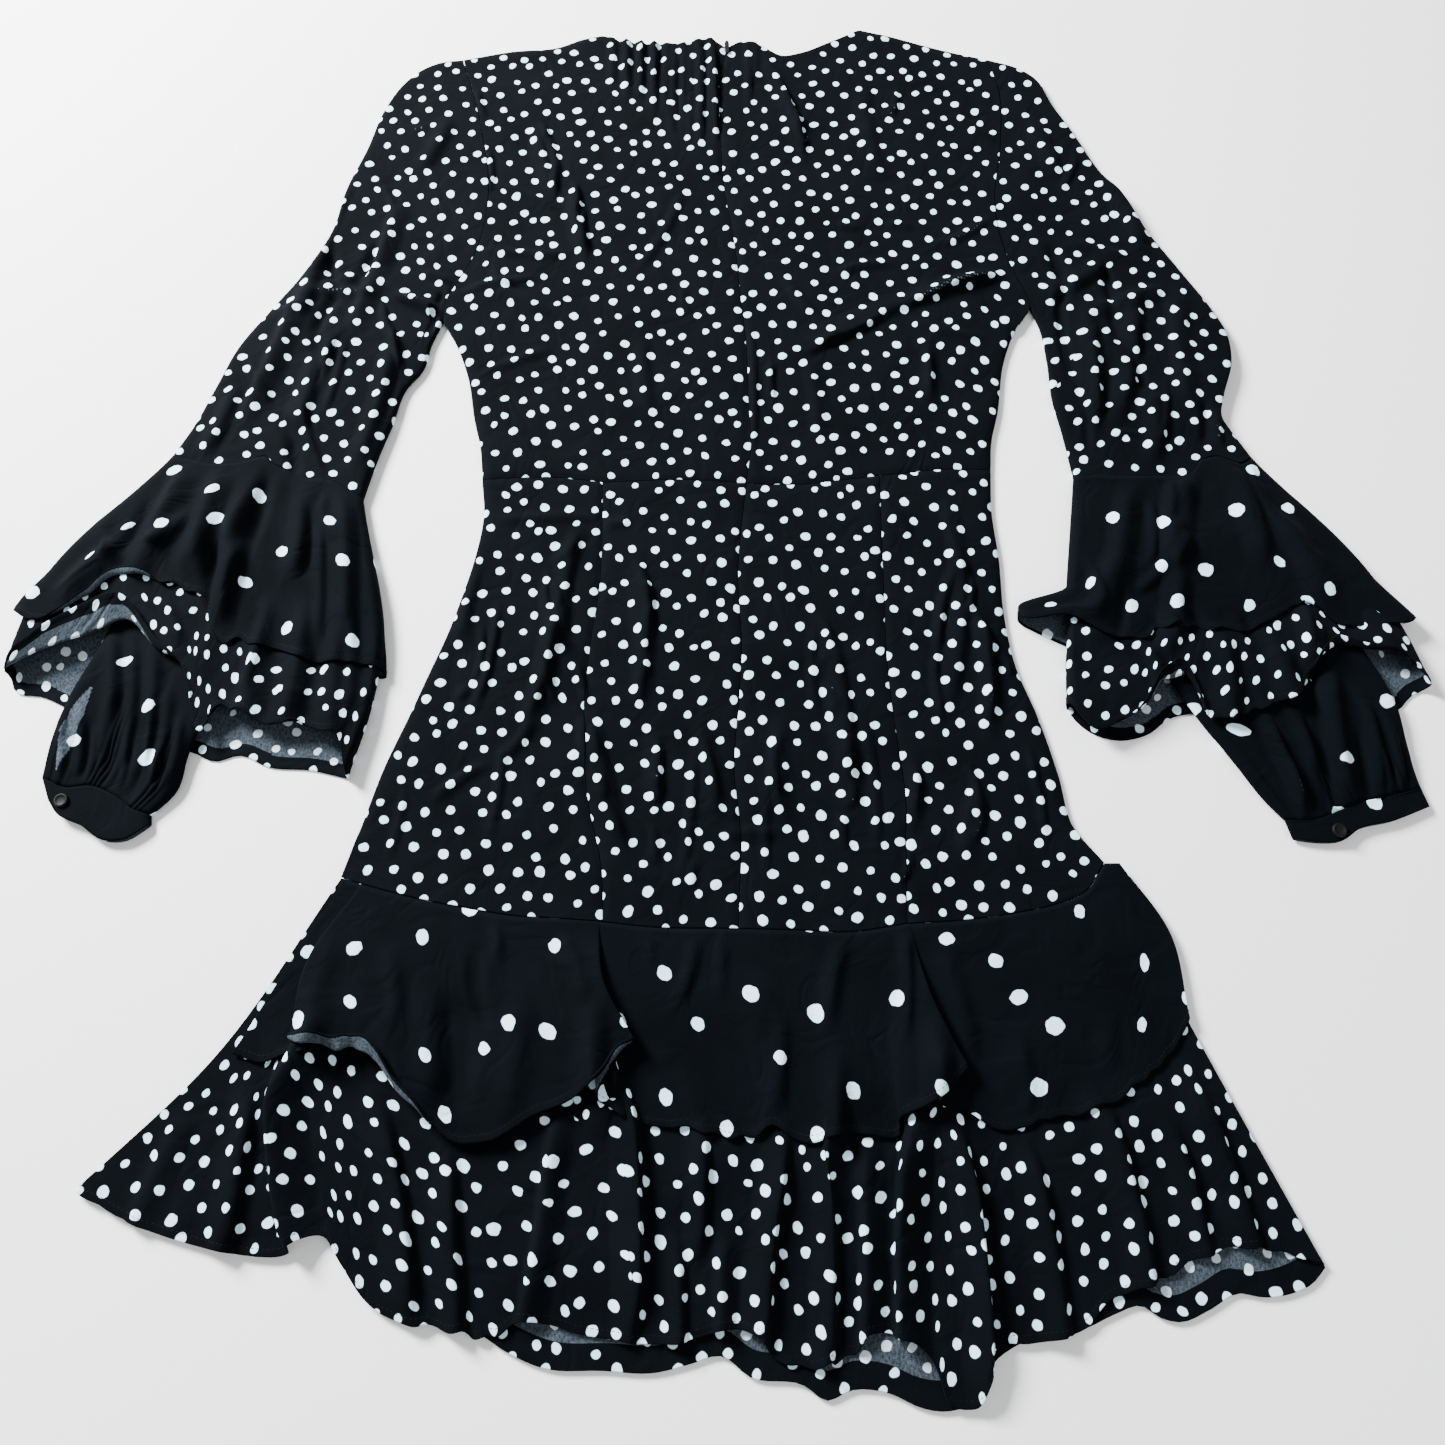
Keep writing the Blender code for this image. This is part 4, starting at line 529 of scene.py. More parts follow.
# Creases of the sleeves, ruffles, balloons and upper flounce. A height below 0 is a valley.
SLEEVE_CREASES = [
    (-259, 277, -275, 228, 3, 7, -3.0, 1), (-292, 266, -281, 226, -4, 7, -3.0, 1),
    (-281, 228, -296, 183, -3, 7, -3.0, 1), (-296, 190, -292, 137, 3, 7, -3.0, 1),
    (-315, 222, -249, 223, 4, 8, 2.6, 1), (-249, 223, -203, 205, 4, 8, 2.6, 1),
    (-225, 245, -200, 234, 2, 6, 2.0, 1), (-251, 222, -229, 168, -4, 5, 2.4, 1),
    (-241, 198, -227, 154, -3, 4, 2.2, 1), (-246, 380, -231, 387, 1, 4, 1.4, 0.5),
    (-311, 120, -294, 65, 3, 8, -4.0, 1), (-299, 132, -272, 65, -3, 5, 2.4, 1),
    (-274, 192, -283, 115, 3, 4, 2.0, 1), (-209, 232, -216, 188, 3, 5, -2.0, 1),
    (-330, 205, -300, 210, 2, 7, 2.0, 1), (-345, 170, -318, 120, 3, 5, 2.0, 1),
    (-265, 330, -250, 300, 3, 5, 1.6, 0.6), (-300, 230, -255, 240, 3, 7, 2.0, 1),
    (240, 275, 249, 215, 4, 9, -4.0, 1), (248, 240, 250, 140, -4, 7, -3.5, 1),
    (278, 262, 282, 205, 3, 7, -3.6, 1), (280, 222, 303, 130, -4, 7, -3.6, 1),
    (250, 272, 304, 250, 5, 8, 2.6, 1), (298, 205, 335, 168, -3, 4, 2.0, 1),
    (338, 135, 332, 92, 2, 6, -3.6, 1), (250, 149, 251, 85, 2, 5, -2.0, 1),
    (318, 219, 336, 192, 2, 4, 2.0, 1), (269, 107, 302, 95, 2, 4, 1.8, 1),
    (273, 361, 255, 321, 2, 5, 1.6, 0.6), (347, 125, 344, 90, -2, 4, 2.4, 1),
    (262, 180, 264, 110, -3, 4, 1.8, 1), (312, 150, 300, 92, 3, 5, 2.0, 1)]
RUFFLE_CREASES = [
    (-338, 33, -325, -75, -4, 17, -6.0, 2), (-289, 62, -278, -17, 4, 7, -3.0, 1),
    (-274, 58, -257, 15, -5, 7, 3.0, 1), (-275, 42, -263, -71, 3, 6, 2.6, 1),
    (-318, 25, -326, -50, -3, 8, 4.0, 2), (-392, 58, -409, -4, 5, 8, -3.0, 1),
    (-343, 84, -329, 110, 2, 6, 2.0, 1), (-361, 44, -389, 12, 5, 8, 3.4, 1),
    (-350, 35, -337, -45, -3, 8, 3.6, 1), (-315, 82, -324, -4, 4, 9, -4.0, 1),
    (-422, 38, -396, -2, -4, 7, 2.6, 1), (-300, -20, -306, -95, 3, 7, 3.0, 1),
    (-245, -30, -240, -120, 3, 7, 2.6, 1), (-262, -60, -266, -120, 2, 6, -2.4, 1),
    (-372, -20, -350, -66, 3, 7, 3.0, 1),
    (311, 70, 303, 25, 3, 7, -3.0, 1), (312, 24, 292, -4, 3, 6, 2.6, 1),
    (296, 8, 264, -22, 4, 6, 2.6, 1), (242, -4, 250, -38, 2, 6, 2.2, 1),
    (289, 55, 280, -4, 3, 6, 2.0, 1), (390, 14, 399, -32, 2, 7, 2.4, 1),
    (357, 98, 381, 10, -4, 7, 2.6, 1), (240, 8, 245, -52, 2, 6, 2.2, 1),
    (261, -12, 253, -62, 2, 6, -2.4, 1), (270, -40, 290, -100, 3, 9, -3.4, 1),
    (335, -30, 350, -95, 3, 7, -3.0, 1), (378, -20, 372, -80, 2, 7, 2.6, 1)]
BALLOON_CREASES = [
    (-404, -38, -392, -152, 8, 9, 4.0, 1), (-391, -40, -381, -154, 9, 7, 3.0, 1),
    (-375, -50, -372, -158, 10, 9, 4.4, 2), (-360, -76, -362, -158, 8, 7, 3.0, 1),
    (-412, -95, -405, -150, 3, 6, 2.6, 1), (-348, -100, -352, -160, 6, 6, 2.6, 1),
    (-384, -85, -386, -152, -3, 6, -2.4, 1), (-368, -100, -368, -160, 2, 5, -2.0, 1),
    (-424, -98, -416, -148, 2, 5, 2.0, 1), (-398, -110, -398, -152, 1, 4, 1.6, 0.6),
    (-376, -122, -377, -156, 1, 4, 1.8, 0.6), (-356, -125, -357, -162, 1, 4, 1.6, 0.6),
    (333, -98, 357, -180, 4, 7, 3.0, 1), (342, -95, 365, -180, -3, 6, 3.2, 1),
    (355, -95, 373, -178, 5, 7, 3.4, 1), (392, -60, 390, -170, -6, 11, 4.6, 2),
    (405, -85, 405, -168, 4, 7, 3.0, 1), (416, -98, 421, -160, 3, 6, 2.6, 1),
    (376, -50, 380, -178, -5, 9, -5.0, 1), (398, -110, 398, -166, 2, 5, -2.2, 1),
    (350, -130, 357, -178, 1, 4, 1.6, 0.6), (412, -125, 414, -162, 1, 4, 1.6, 0.6),
    (368, -130, 372, -176, 1, 4, -1.8, 0.6), (428, -120, 430, -158, 1, 4, 1.4, 0.6)]
UPPER_CREASES = [
    (-147, -204, -134, -265, 3, 7, 2.6, 1), (-148, -248, -133, -304, -5, 7, -3.4, 1),
    (-106, -256, -90, -266, 1, 5, 1.6, 0.6), (-45, -232, -45, -265, 1, 5, 2.2, 1),
    (-17, -232, -31, -292, 3, 8, 3.0, 2), (75, -234, 58, -305, -3, 9, 2.6, 1),
    (106, -232, 101, -312, 3, 7, 2.6, 1), (197, -285, 236, -233, 4, 8, -2.2, 1),
    (-159, -276, -154, -352, 4, 20, -3.6, 2), (-176, -270, -166, -345, 3, 14, 2.6, 1),
    (-119, -270, -126, -358, 3, 15, 2.8, 1), (-232, -240, -247, -295, 4, 12, 1.6, 0.2),
    (-3, -232, -5, -288, 2, 6, 1.8, 0.6), (32, -282, 25, -350, 3, 9, 2.4, 1),
    (126, -244, 142, -327, 3, 12, 2.6, 1), (-100, -240, -80, -290, 3, 9, 2.2, 1),
    (168, -300, 172, -350, 2, 9, 1.8, 1), (-202, -250, -190, -300, 3, 9, 2.0, 1)]

# Ribs of the upper back flounce, whose lobes fold over one another: seam x, middle x, y,
# hem x, y, lift over the lower flounce and length of hem that is turned up
UPPER_RIBS = [
    (-230, -256, -258, -284, -312, 0, 0), (-222, -250, -264, -272, -316, 0, 0),
    (-218, -246, -266, -262, -316, 0.5, 0), (-214, -242, -268, -248, -312, 0.5, 0),
    (-212, -238, -270, -238, -308, 1, 0), (-220, -246, -262, -250, -304, 6, 3),
    (-212, -236, -268, -242, -306, 6, 7), (-206, -222, -274, -222, -310, 6, 10),
    (-196, -210, -276, -208, -310, 6, 11), (-190, -198, -282, -198, -318, 6, 11),
    (-184, -190, -288, -188, -330, 6, 9), (-178, -182, -294, -176, -340, 5, 6),
    (-170, -172, -298, -164, -352, 4, 2), (-160, -160, -302, -150, -360, 3, 0),
    (-150, -148, -304, -134, -360, 4, 0), (-140, -134, -302, -124, -356, 5, 0),
    (-132, -122, -298, -108, -346, 5, 0), (-120, -108, -294, -88, -338, 5, 0),
    (-106, -94, -284, -70, -324, 6, 2), (-92, -84, -276, -60, -312, 7, 4),
    (-76, -72, -268, -52, -304, 8, 0), (-80, -76, -274, -64, -320, 4, 0),
    (-82, -78, -282, -72, -336, 1, 0), (-78, -70, -290, -64, -342, 0, 0),
    (-72, -60, -290, -54, -348, 0, 0), (-62, -50, -294, -40, -352, 0, 0),
    (-44, -34, -296, -24, -352, 0, 0), (-30, -20, -298, -6, -356, 0, 0),
    (-14, -8, -298, 8, -358, 0, 0), (2, 8, -298, 18, -356, 0, 0),
    (20, 22, -298, 28, -352, 2, 0), (36, 36, -298, 40, -358, 0, 0),
    (50, 50, -300, 52, -360, 0, 0), (62, 62, -298, 64, -356, 2, 0),
    (74, 74, -298, 80, -356, 1, 0), (86, 86, -298, 92, -358, 0, 0),
    (96, 94, -296, 98, -356, 1, 0), (100, 98, -296, 98, -348, 3, 0),
    (104, 104, -294, 104, -344, 5, 0), (106, 110, -288, 114, -340, 6, 0),
    (108, 116, -282, 126, -332, 7, 0), (110, 120, -280, 138, -320, 7, 0),
    (108, 114, -288, 128, -330, 3, 0), (106, 110, -298, 122, -340, 1, 0),
    (110, 116, -298, 134, -342, 0, 0), (116, 128, -296, 144, -348, 0, 0),
    (126, 140, -294, 150, -352, 0, 0), (134, 150, -292, 158, -354, 0, 0),
    (150, 166, -288, 170, -352, 0, 0), (164, 180, -284, 180, -348, 0, 0),
    (180, 196, -282, 196, -346, 0, 0), (196, 210, -276, 210, -342, 0, 0),
    (208, 222, -270, 222, -338, 0, 0), (216, 234, -264, 234, -330, 0, 0),
    (226, 244, -258, 248, -320, 0, 0), (232, 252, -254, 260, -308, 0, 0),
    (236, 260, -250, 268, -296, 0, 0), (240, 266, -244, 270, -292, 0, 0)]

# Length of hem turned up at each rib of the sleeve ruffles, upper then lower
TURNS_LEFT = (
    (0, 0, 3, 6, 6, 2, 0, 0, 0, 0, 0, 0, 0, 0, 0, 0, 0, 0),
    (0, 12, 18, 20, 18, 8, 0, 0, 0, 0, 0, 0, 0, 0, 2, 0, 0, 0))
TURNS_RIGHT = (
    (0, 0, 0, 0, 0, 0, 0, 0, 0, 0, 0, 0, 0, 0, 2, 0, 0, 0, 0, 0),
    (0, 0, 0, 0, 2, 8, 11, 10, 6, 0, 0, 0, 0, 0, 3, 6, 6, 3, 0, 0))

# Where the ruffles' hems stand out, for the top and for the layer beneath: share across, width,
# start and end down the ruffle, then x, y and z
FLARES_LEFT = ((((0.0, 0.05, 0.75, 1.0, -6, 2, 0),), ((1.0, 0.08, 0.8, 1.0, 3, -5, 0),)),
               ((), ()))
FLARES_RIGHT = ((((0.0, 0.09, 0.76, 0.93, -31, 3, 0), (0.09, 0.05, 0.8, 1.0, -2, 13, 2),
                  (1.0, 0.07, 0.86, 1.0, 15, -13, 0)),
                 ((0.0, 0.12, 0.76, 0.93, -31, 3, 0), (0.12, 0.07, 0.85, 1.0, 2, -8, 0),
                  (1.0, 0.07, 0.86, 1.0, 15, -13, 0))),
                ((), ()))


def ease(value):
    """Smooth ramp from 0 to 1."""
    t = np.clip(value, 0.0, 1.0)
    return t * t * (3 - 2 * t)


def unit(vectors):
    return vectors / np.linalg.norm(vectors, axis=-1, keepdims=True)


def summed(steps, axis=0):
    """Running totals of steps, from 0."""
    return np.insert(np.cumsum(steps, axis=axis), 0, 0.0, axis=axis)


def step_sizes(points, axis=0):
    """The distances between neighbours along one way of a line or grid."""
    return np.linalg.norm(np.diff(points, axis=axis), axis=-1)


def cubic(start, end, leave, arrive, span, t):
    """A smooth path from start to end that leaves and arrives with these slopes."""
    return ((1 + 2 * t) * (1 - t) ** 2 * start + t * (1 - t) ** 2 * span * leave
            + t * t * (3 - 2 * t) * end - t * t * (1 - t) * span * arrive)


def spline(knots, values, at):
    """A smooth curve through the values, read at any place between the knots."""
    knots = np.asarray(knots, float)
    values = np.asarray(values, float)
    spans = np.diff(knots)[:, None]
    slopes = np.diff(values, axis=0) / spans
    inner = (slopes[:-1] * spans[1:] + slopes[1:] * spans[:-1]) / (spans[:-1] + spans[1:])
    tangents = np.vstack((slopes[:1], inner, slopes[-1:]))
    at = np.asarray(at, float)
    cell = np.clip(np.searchsorted(knots, at, side="right") - 1, 0, len(knots) - 2)
    span = spans[cell]
    t = (at - knots[cell])[:, None] / span
    return cubic(values[cell], values[cell + 1], tangents[cell], tangents[cell + 1], span, t)


def curve(points, count=200):
    """Even places along a smooth curve through a few plan points."""
    points = np.asarray(points, float)
    chords = summed(step_sizes(points))
    fine = spline(chords, points, np.linspace(0, chords[-1], 8 * count))
    run = summed(step_sizes(fine))
    even = np.linspace(0, run[-1], count)
    return np.column_stack([np.interp(even, run, fine[:, k]) for k in range(2)])


def edge(*runs, split=None):
    """Rows of share, x, y along curves that meet end to end. split is the share where they meet."""
    points = np.vstack([curve(run) for run in runs])
    run = summed(step_sizes(points))
    share = run / run[-1]
    if split is not None:
        meeting = share[len(points) // 2]
        share = np.interp(share, (0, meeting, 1), (0, split, 1))
    return np.column_stack((share, points))


def read(line, share):
    """Plan points at shares 0 to 1 of an edge."""
    return np.stack([np.interp(share, line[:, 0], line[:, k]) for k in (1, 2)], axis=-1)


def length(line):
    return float(step_sizes(line[:, 1:]).sum())


def patch(top, bottom, left, right, u, v):
    """Plan points between four edges, u across from the left and v down from the top."""
    u1, v1 = u[..., None], v[..., None]
    blend = ((1 - v1) * read(top, u) + v1 * read(bottom, u)
             + (1 - u1) * read(left, v) + u1 * read(right, v))
    corners = ((1 - u1) * (1 - v1) * top[0, 1:] + u1 * (1 - v1) * top[-1, 1:]
               + (1 - u1) * v1 * bottom[0, 1:] + u1 * v1 * bottom[-1, 1:])
    return blend - corners


def patch_reader(*edges):
    """The plan inside four edges, as a function of u and v."""
    lines = [edge(points) for points in edges]
    return lambda u, v: patch(*lines, u, v)


def at_height(plan, height):
    """Plan points with a height, which is one for all or one for each point."""
    heights = np.broadcast_to(height, plan.shape[:-1])
    return np.concatenate((plan, heights[..., None]), axis=-1)


def distance(points, line):
    """How far plan points lie from a line of plan points."""
    best = np.full(points.shape[:-1], np.inf)
    for start, end in zip(line[:-1], line[1:]):
        run = end - start
        share = np.clip(((points - start) @ run) / max(run @ run, TINY), 0, 1)
        gap = points - (start + share[..., None] * run)
        best = np.minimum(best, np.hypot(gap[..., 0], gap[..., 1]))
    return best


def fold_shift(points, folds, gain=1.0, sharp=False):
    """The sideways and upward shift that the folds give to plan points.

    A sharp crease is a narrow ridge between two shallow troughs, and a soft one is a round swell.
    """
    shift = np.zeros(points.shape[:-1] + (3,))
    for x0, y0, x1, y1, bend, half_width, height, lean in folds:
        run = np.array((x1 - x0, y1 - y0), float)
        size = np.hypot(*run)
        ahead = run / size
        aside = np.array((-ahead[1], ahead[0]))
        offset = points - np.array((x0, y0), float)
        t = (offset @ ahead) / size
        across = offset @ aside - bend * 4 * t * (1 - t)
        fade = ease(t / FOLD_FADE) * ease((1 - t) / FOLD_FADE)
        if sharp:
            near = (across / (SHARP_SPREAD * half_width)) ** 2
            crest = (1 - SHARP_TROUGHS * near) * np.exp(-near)
        else:
            slope = 1 - np.sqrt((across / half_width) ** 2 + FOLD_ROUND ** 2)
            crest = np.clip(slope / (1 - FOLD_ROUND), 0, 1) ** FOLD_FOOT
        fade = np.where((t > 0) & (t < 1), fade, 0.0)
        sideways = SHARP_SHIFT if sharp else 1.0
        shift[..., :2] += (sideways * gain * fade * crest * lean)[..., None] * aside
        shift[..., 2] += gain * fade * crest * height
    return shift


def gather_folds():
    """The back neck's gathers as folds that start at the neck edge."""
    return [(x, GATHER_TOP + size * GATHER_RISE, x + GATHER_SLANT, GATHER_TOP - size, 1.0,
             GATHER_HALF_WIDTH, height, GATHER_LEAN) for x, size, height in NECK_GATHERS]


def crumple(plan, height):
    """The shallow unevenness of cloth that has been worn, as a few crossed waves."""
    x, y = plan[..., 0], plan[..., 1]
    slow = np.sin(x / 19 + 1.7 * np.sin(y / 43)) * np.sin(y / 27 + 1.3 * np.sin(x / 31))
    fast = np.sin(x / 7.3 + 1.1 * np.sin(y / 17)) * np.sin(y / 9.7 + 0.9 * np.sin(x / 13))
    return height * (slow + 0.35 * fast)


def hem_wave(plan, to_hem):
    """The small uneven waves of a hem that was stretched as it was sewn."""
    place = 0.9 * plan[..., 0] + 0.45 * plan[..., 1]
    turn = place / HEM_WAVE_LENGTH + 2.1 * np.sin(place / 13)
    fade = HEM_WAVE * np.exp(-np.clip(to_hem, 0, None) / HEM_WAVE_REACH)
    fade = fade * np.clip(0.35 + 0.65 * np.sin(place / 31), 0, 1)
    return np.stack((0 * place, fade * np.sin(turn), fade * np.cos(turn)), axis=-1)


def side_rims():
    """Where the back is sewn to the front: the shoulders and the sides."""
    rims = [curve(SHOULDER_LEFT), curve(SHOULDER_RIGHT)]
    for bodice, skirt in ((BODICE_SIDE_LEFT, SKIRT_SIDE_LEFT),
                          (BODICE_SIDE_RIGHT, SKIRT_SIDE_RIGHT)):
        side = edge(bodice, skirt)
        last = 1 - SKIRT_SIDE_REACH / length(side)
        rims.append(read(side, np.linspace(UNDERARM_SHARE, last, 40)))
    return rims


def body_sides():
    """The left and right edges of the whole bodice, split at the underarm."""
    return (edge(ARMHOLE_LEFT, BODICE_SIDE_LEFT, split=ARMHOLE_SHARE),
            edge(ARMHOLE_RIGHT, BODICE_SIDE_RIGHT, split=ARMHOLE_SHARE))


RIMS = side_rims()
BACK_SEAMS = [curve(points)[::6] for points in (
    CENTRE_BACK, CENTRE_SKIRT, GORE_LEFT, GORE_RIGHT, WAIST_LEFT_SIDE, WAIST_LEFT_CENTRE,
    WAIST_RIGHT_CENTRE, WAIST_RIGHT_SIDE)]
SOFT_BODY_FOLDS = BODY_FOLDS + gather_folds()
WAIST = edge(WAIST_LEFT_SIDE, WAIST_LEFT_CENTRE, WAIST_RIGHT_CENTRE, WAIST_RIGHT_SIDE)
FLOUNCE_SEAM = edge(SEAM_LEFT_SIDE, SEAM_LEFT_CENTRE, SEAM_RIGHT_CENTRE, SEAM_RIGHT_SIDE)


def back_of_body(plan):
    """Middle surface of the bodice and skirt back over any plan points."""
    near = np.min([distance(plan, rim) for rim in RIMS], axis=0)
    depth = 1 - np.clip(near / RIM_REACH, 0, 1)
    round_over = np.sqrt(1 - depth ** 2)
    shift = fold_shift(plan, SOFT_BODY_FOLDS, BODY_GAIN)
    shift += fold_shift(plan, FINE_CREASES, CREASE_GAIN, sharp=True)
    seam = np.min([distance(plan, line) for line in BACK_SEAMS], axis=0)
    dip = SEAM_DIP * np.exp(-(seam / SEAM_WIDTH) ** 2)
    pucker = PUCKER_HEIGHT * np.exp(-seam / PUCKER_REACH) * np.sin(
        2 * np.pi * (plan[..., 0] + plan[..., 1]) / PUCKER_LENGTH)
    shift[..., 2] += crumple(plan, BODY_CRUMPLE) + pucker - dip
    shift[..., 2] = LOFT + np.maximum(shift[..., 2], -DEEPEST_BACK)
    return at_height(plan, SECOND_LAYER) + shift * round_over[..., None]


def grid_normals(grid, ring=False):
    """Directions square to a grid whose rows run down and whose columns run across."""
    if ring:
        wide = np.concatenate((grid[:, -1:], grid, grid[:, :1]), axis=1)
        across = wide[:, 2:] - wide[:, :-2]
    else:
        across = np.gradient(grid, axis=1)
    return unit(np.cross(np.gradient(grid, axis=0), across))


def stations(size, spacing, start=0.0, end=1.0):
    """Even shares along a length, with one more close to each end."""
    count = max(4, round(size / spacing))
    even = np.linspace(start, end, count + 1)
    near = NEAR_EDGE / size * (end - start)
    return np.concatenate((even[:1], [start + near], even[1:-1], [end - near], even[-1:]))


def shares(*runs):
    """Shares down a piece, as runs of a first share, a last share and a count."""
    return np.concatenate([np.linspace(*run) for run in runs])


def plan_cloth(plan, grid):
    """Cloth coordinates of a piece that lies nearly flat: its plan and what the folds take up."""
    extra = []
    for axis in (1, 0):
        ahead = np.sign(np.diff(plan[..., 1 - axis], axis=axis)) * (1 if axis else -1)
        total = summed((step_sizes(grid, axis) - step_sizes(plan, axis)) * ahead, axis)
        extra.append(total - np.take(total, [total.shape[axis] // 2], axis=axis))
    return np.stack((plan[..., 0] + extra[0], plan[..., 1] - extra[1]), axis=-1)


def rib_cloth(grid):
    """Cloth coordinates of a flared piece: its ribs are straight, and fan out with its hem."""
    along = summed(step_sizes(grid))
    seam = step_sizes(grid[0])
    hem = step_sizes(grid[-1])
    height = 0.5 * (along[-1, 1:] + along[-1, :-1])
    angle = summed((hem - seam) / height)
    angle -= angle[len(angle) // 2]
    middle = 0.5 * (angle[1:] + angle[:-1])
    start = np.stack((summed(seam * np.cos(middle)), summed(seam * np.sin(middle))), axis=-1)
    rib = np.stack((np.sin(angle), -np.cos(angle)), axis=-1)
    return start[None] + along[..., None] * rib[None]


def relaxed(cloth, grid):
    """Cloth coordinates moved until neighbours lie as far apart as they do in the piece."""
    first, last, every = slice(None, -1), slice(1, None), slice(None)
    pairs = (((every, last), (every, first)), ((last, every), (first, every)),
             ((last, last), (first, first)), ((last, first), (first, last)))
    sizes = [np.linalg.norm(grid[a] - grid[b], axis=-1) for a, b in pairs]
    flat = cloth.copy()
    count = np.zeros(flat.shape[:2] + (1,))
    for a, b in pairs:
        count[a] += 1
        count[b] += 1
    for _ in range(RELAX_ROUNDS):
        move = np.zeros_like(flat)
        for (a, b), size in zip(pairs, sizes):
            apart = flat[a] - flat[b]
            now = np.maximum(np.linalg.norm(apart, axis=-1), NEAREST)
            push = (0.5 * (size / now - 1))[..., None] * apart
            move[a] += push
            move[b] -= push
        flat += RELAX_STEP * move / count
    return flat


def hem_distance(grid):
    """How far each point of a grid is from its last row, along its column."""
    return summed(step_sizes(grid)[::-1])[::-1]


def cut_size(grid):
    """The width, length and area that a piece was cut to, in metres."""
    wide = step_sizes(grid, 1).sum(axis=1).max()
    long = step_sizes(grid).sum(axis=0).max()
    across = grid[:-1, 1:] - grid[:-1, :-1]
    down = grid[1:, :-1] - grid[:-1, :-1]
    area = float(np.linalg.norm(np.cross(across, down), axis=-1).sum())
    return (wide * MM, long * MM), area * MM * MM


class Cloth:
    """A sewn piece as a grid: its middle surface, outward directions and cloth coordinates.

    facing and allowance are how far its hem and its seam are turned in, where both sides of
    it are printed. bare marks the cells whose outer side is the wrong side.
    """

    def __init__(self, grid, cloth, ring=False, face_down=False, hem=False, facing=0.0,
                 allowance=0.0):
        wide = np.concatenate((grid, grid[:, :1]), axis=1) if ring else grid
        self.grid = grid
        self.cloth = relaxed(cloth, wide)
        self.bare = np.zeros((grid.shape[0] - 1, wide.shape[1] - 1), bool)
        self.ring = ring
        self.outward = grid_normals(grid, ring) * (-1 if face_down else 1)
        self.flip = face_down
        roll = np.zeros(grid.shape[:2])
        self.from_hem = hem_distance(grid)
        from_seam = hem_distance(grid[::-1])[::-1]
        self.turned_in = (self.from_hem < facing) | (from_seam < allowance)
        if hem:
            roll = HEM_RISE * (1 - ease((self.from_hem - HEM_ROLL) / HEM_ROLL_FADE))
        self.half = (CLOTH / 2 + roll / 2)[..., None]

    def points(self):
        outer = self.grid + self.outward * self.half
        inner = self.grid - self.outward * self.half
        return np.concatenate((outer.reshape(-1, 3), inner.reshape(-1, 3))) * MM


def shell_faces(cloth):
    """Corner rows for the two sides and the rims of a piece: corners, cloth places, inside."""
    rows, columns = cloth.grid.shape[:2]
    count = rows * columns
    cells = columns if cloth.ring else columns - 1
    wide = columns + 1 if cloth.ring else columns
    row, column = np.meshgrid(np.arange(rows - 1), np.arange(cells), indexing="ij")
    groups = []

    def corner(r, c):
        return r * columns + c % columns, r * wide + c

    def keep(faces, places, finish):
        if cloth.flip:
            faces, places = faces[:, ::-1], places[:, ::-1]
        groups.append((faces, places, finish))

    def rim(row_a, column_a, row_b, column_b):
        a, place_a = corner(row_a, column_a)
        b, place_b = corner(row_b, column_b)
        keep(np.stack((a, b, b + count, a + count), axis=-1),
             np.stack((place_a, place_b, place_b, place_a), axis=-1), np.zeros(len(a), int))

    corners = [corner(row + dr, column + dc) for dr, dc in ((0, 0), (1, 0), (1, 1), (0, 1))]
    vertex, place = [np.stack([pair[k] for pair in corners], axis=-1).reshape(-1, 4)
                     for k in range(2)]
    inside = np.where(cloth.turned_in[1:, :cells], 0, 1).reshape(-1)
    keep(vertex, place, cloth.bare.reshape(-1).astype(int))
    keep(vertex[:, ::-1] + count, place[:, ::-1], inside)
    across = np.arange(cells)
    down = np.arange(rows - 1)
    top, bottom = np.zeros(cells, int), np.full(cells, rows - 1)
    rim(top, across, top, across + 1)
    rim(bottom, across + 1, bottom, across)
    if not cloth.ring:
        left, right = np.zeros(rows - 1, int), np.full(rows - 1, columns - 1)
        rim(down + 1, left, down, left)
        rim(down, right, down + 1, right)
    return [np.concatenate([group[k] for group in groups]) for k in range(3)]


def add_object(name, data):
    made = bpy.data.objects.new(name, data)
    bpy.context.scene.collection.objects.link(made)
    return made


def dress_piece(name, mesh, slot):
    """An object that rides on the dress and stands for the CAD node of this name."""
    piece = add_object(name + "_look", mesh)
    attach(piece, "root")
    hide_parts(name)
    return piece


# The sewn pieces by node: object, cloth and slot
PIECES = {}


def add_piece(name, cloth, finish, offset):
    """A piece of cloth as an object, with its right side and wrong side."""
    slot, right_side, wrong_side = finish
    corners, places, inside = shell_faces(cloth)
    mesh = bpy.data.meshes.new(name)
    mesh.from_pydata(cloth.points().tolist(), [], corners.tolist())
    mesh.polygons.foreach_set("material_index", inside.astype(np.int32))
    mesh.polygons.foreach_set("use_smooth", np.ones(len(corners), bool))
    layer = mesh.uv_layers.new(name="Cloth")
    flat = cloth.cloth.reshape(-1, 2)[places.reshape(-1)] + np.asarray(offset, float)
    layer.data.foreach_set("uv", (flat * MM).astype(np.float32).reshape(-1))
    mesh.update()
    mesh.materials.append(right_side)
    mesh.materials.append(wrong_side)
    PIECES[name] = (dress_piece(name, mesh, slot), cloth, slot)


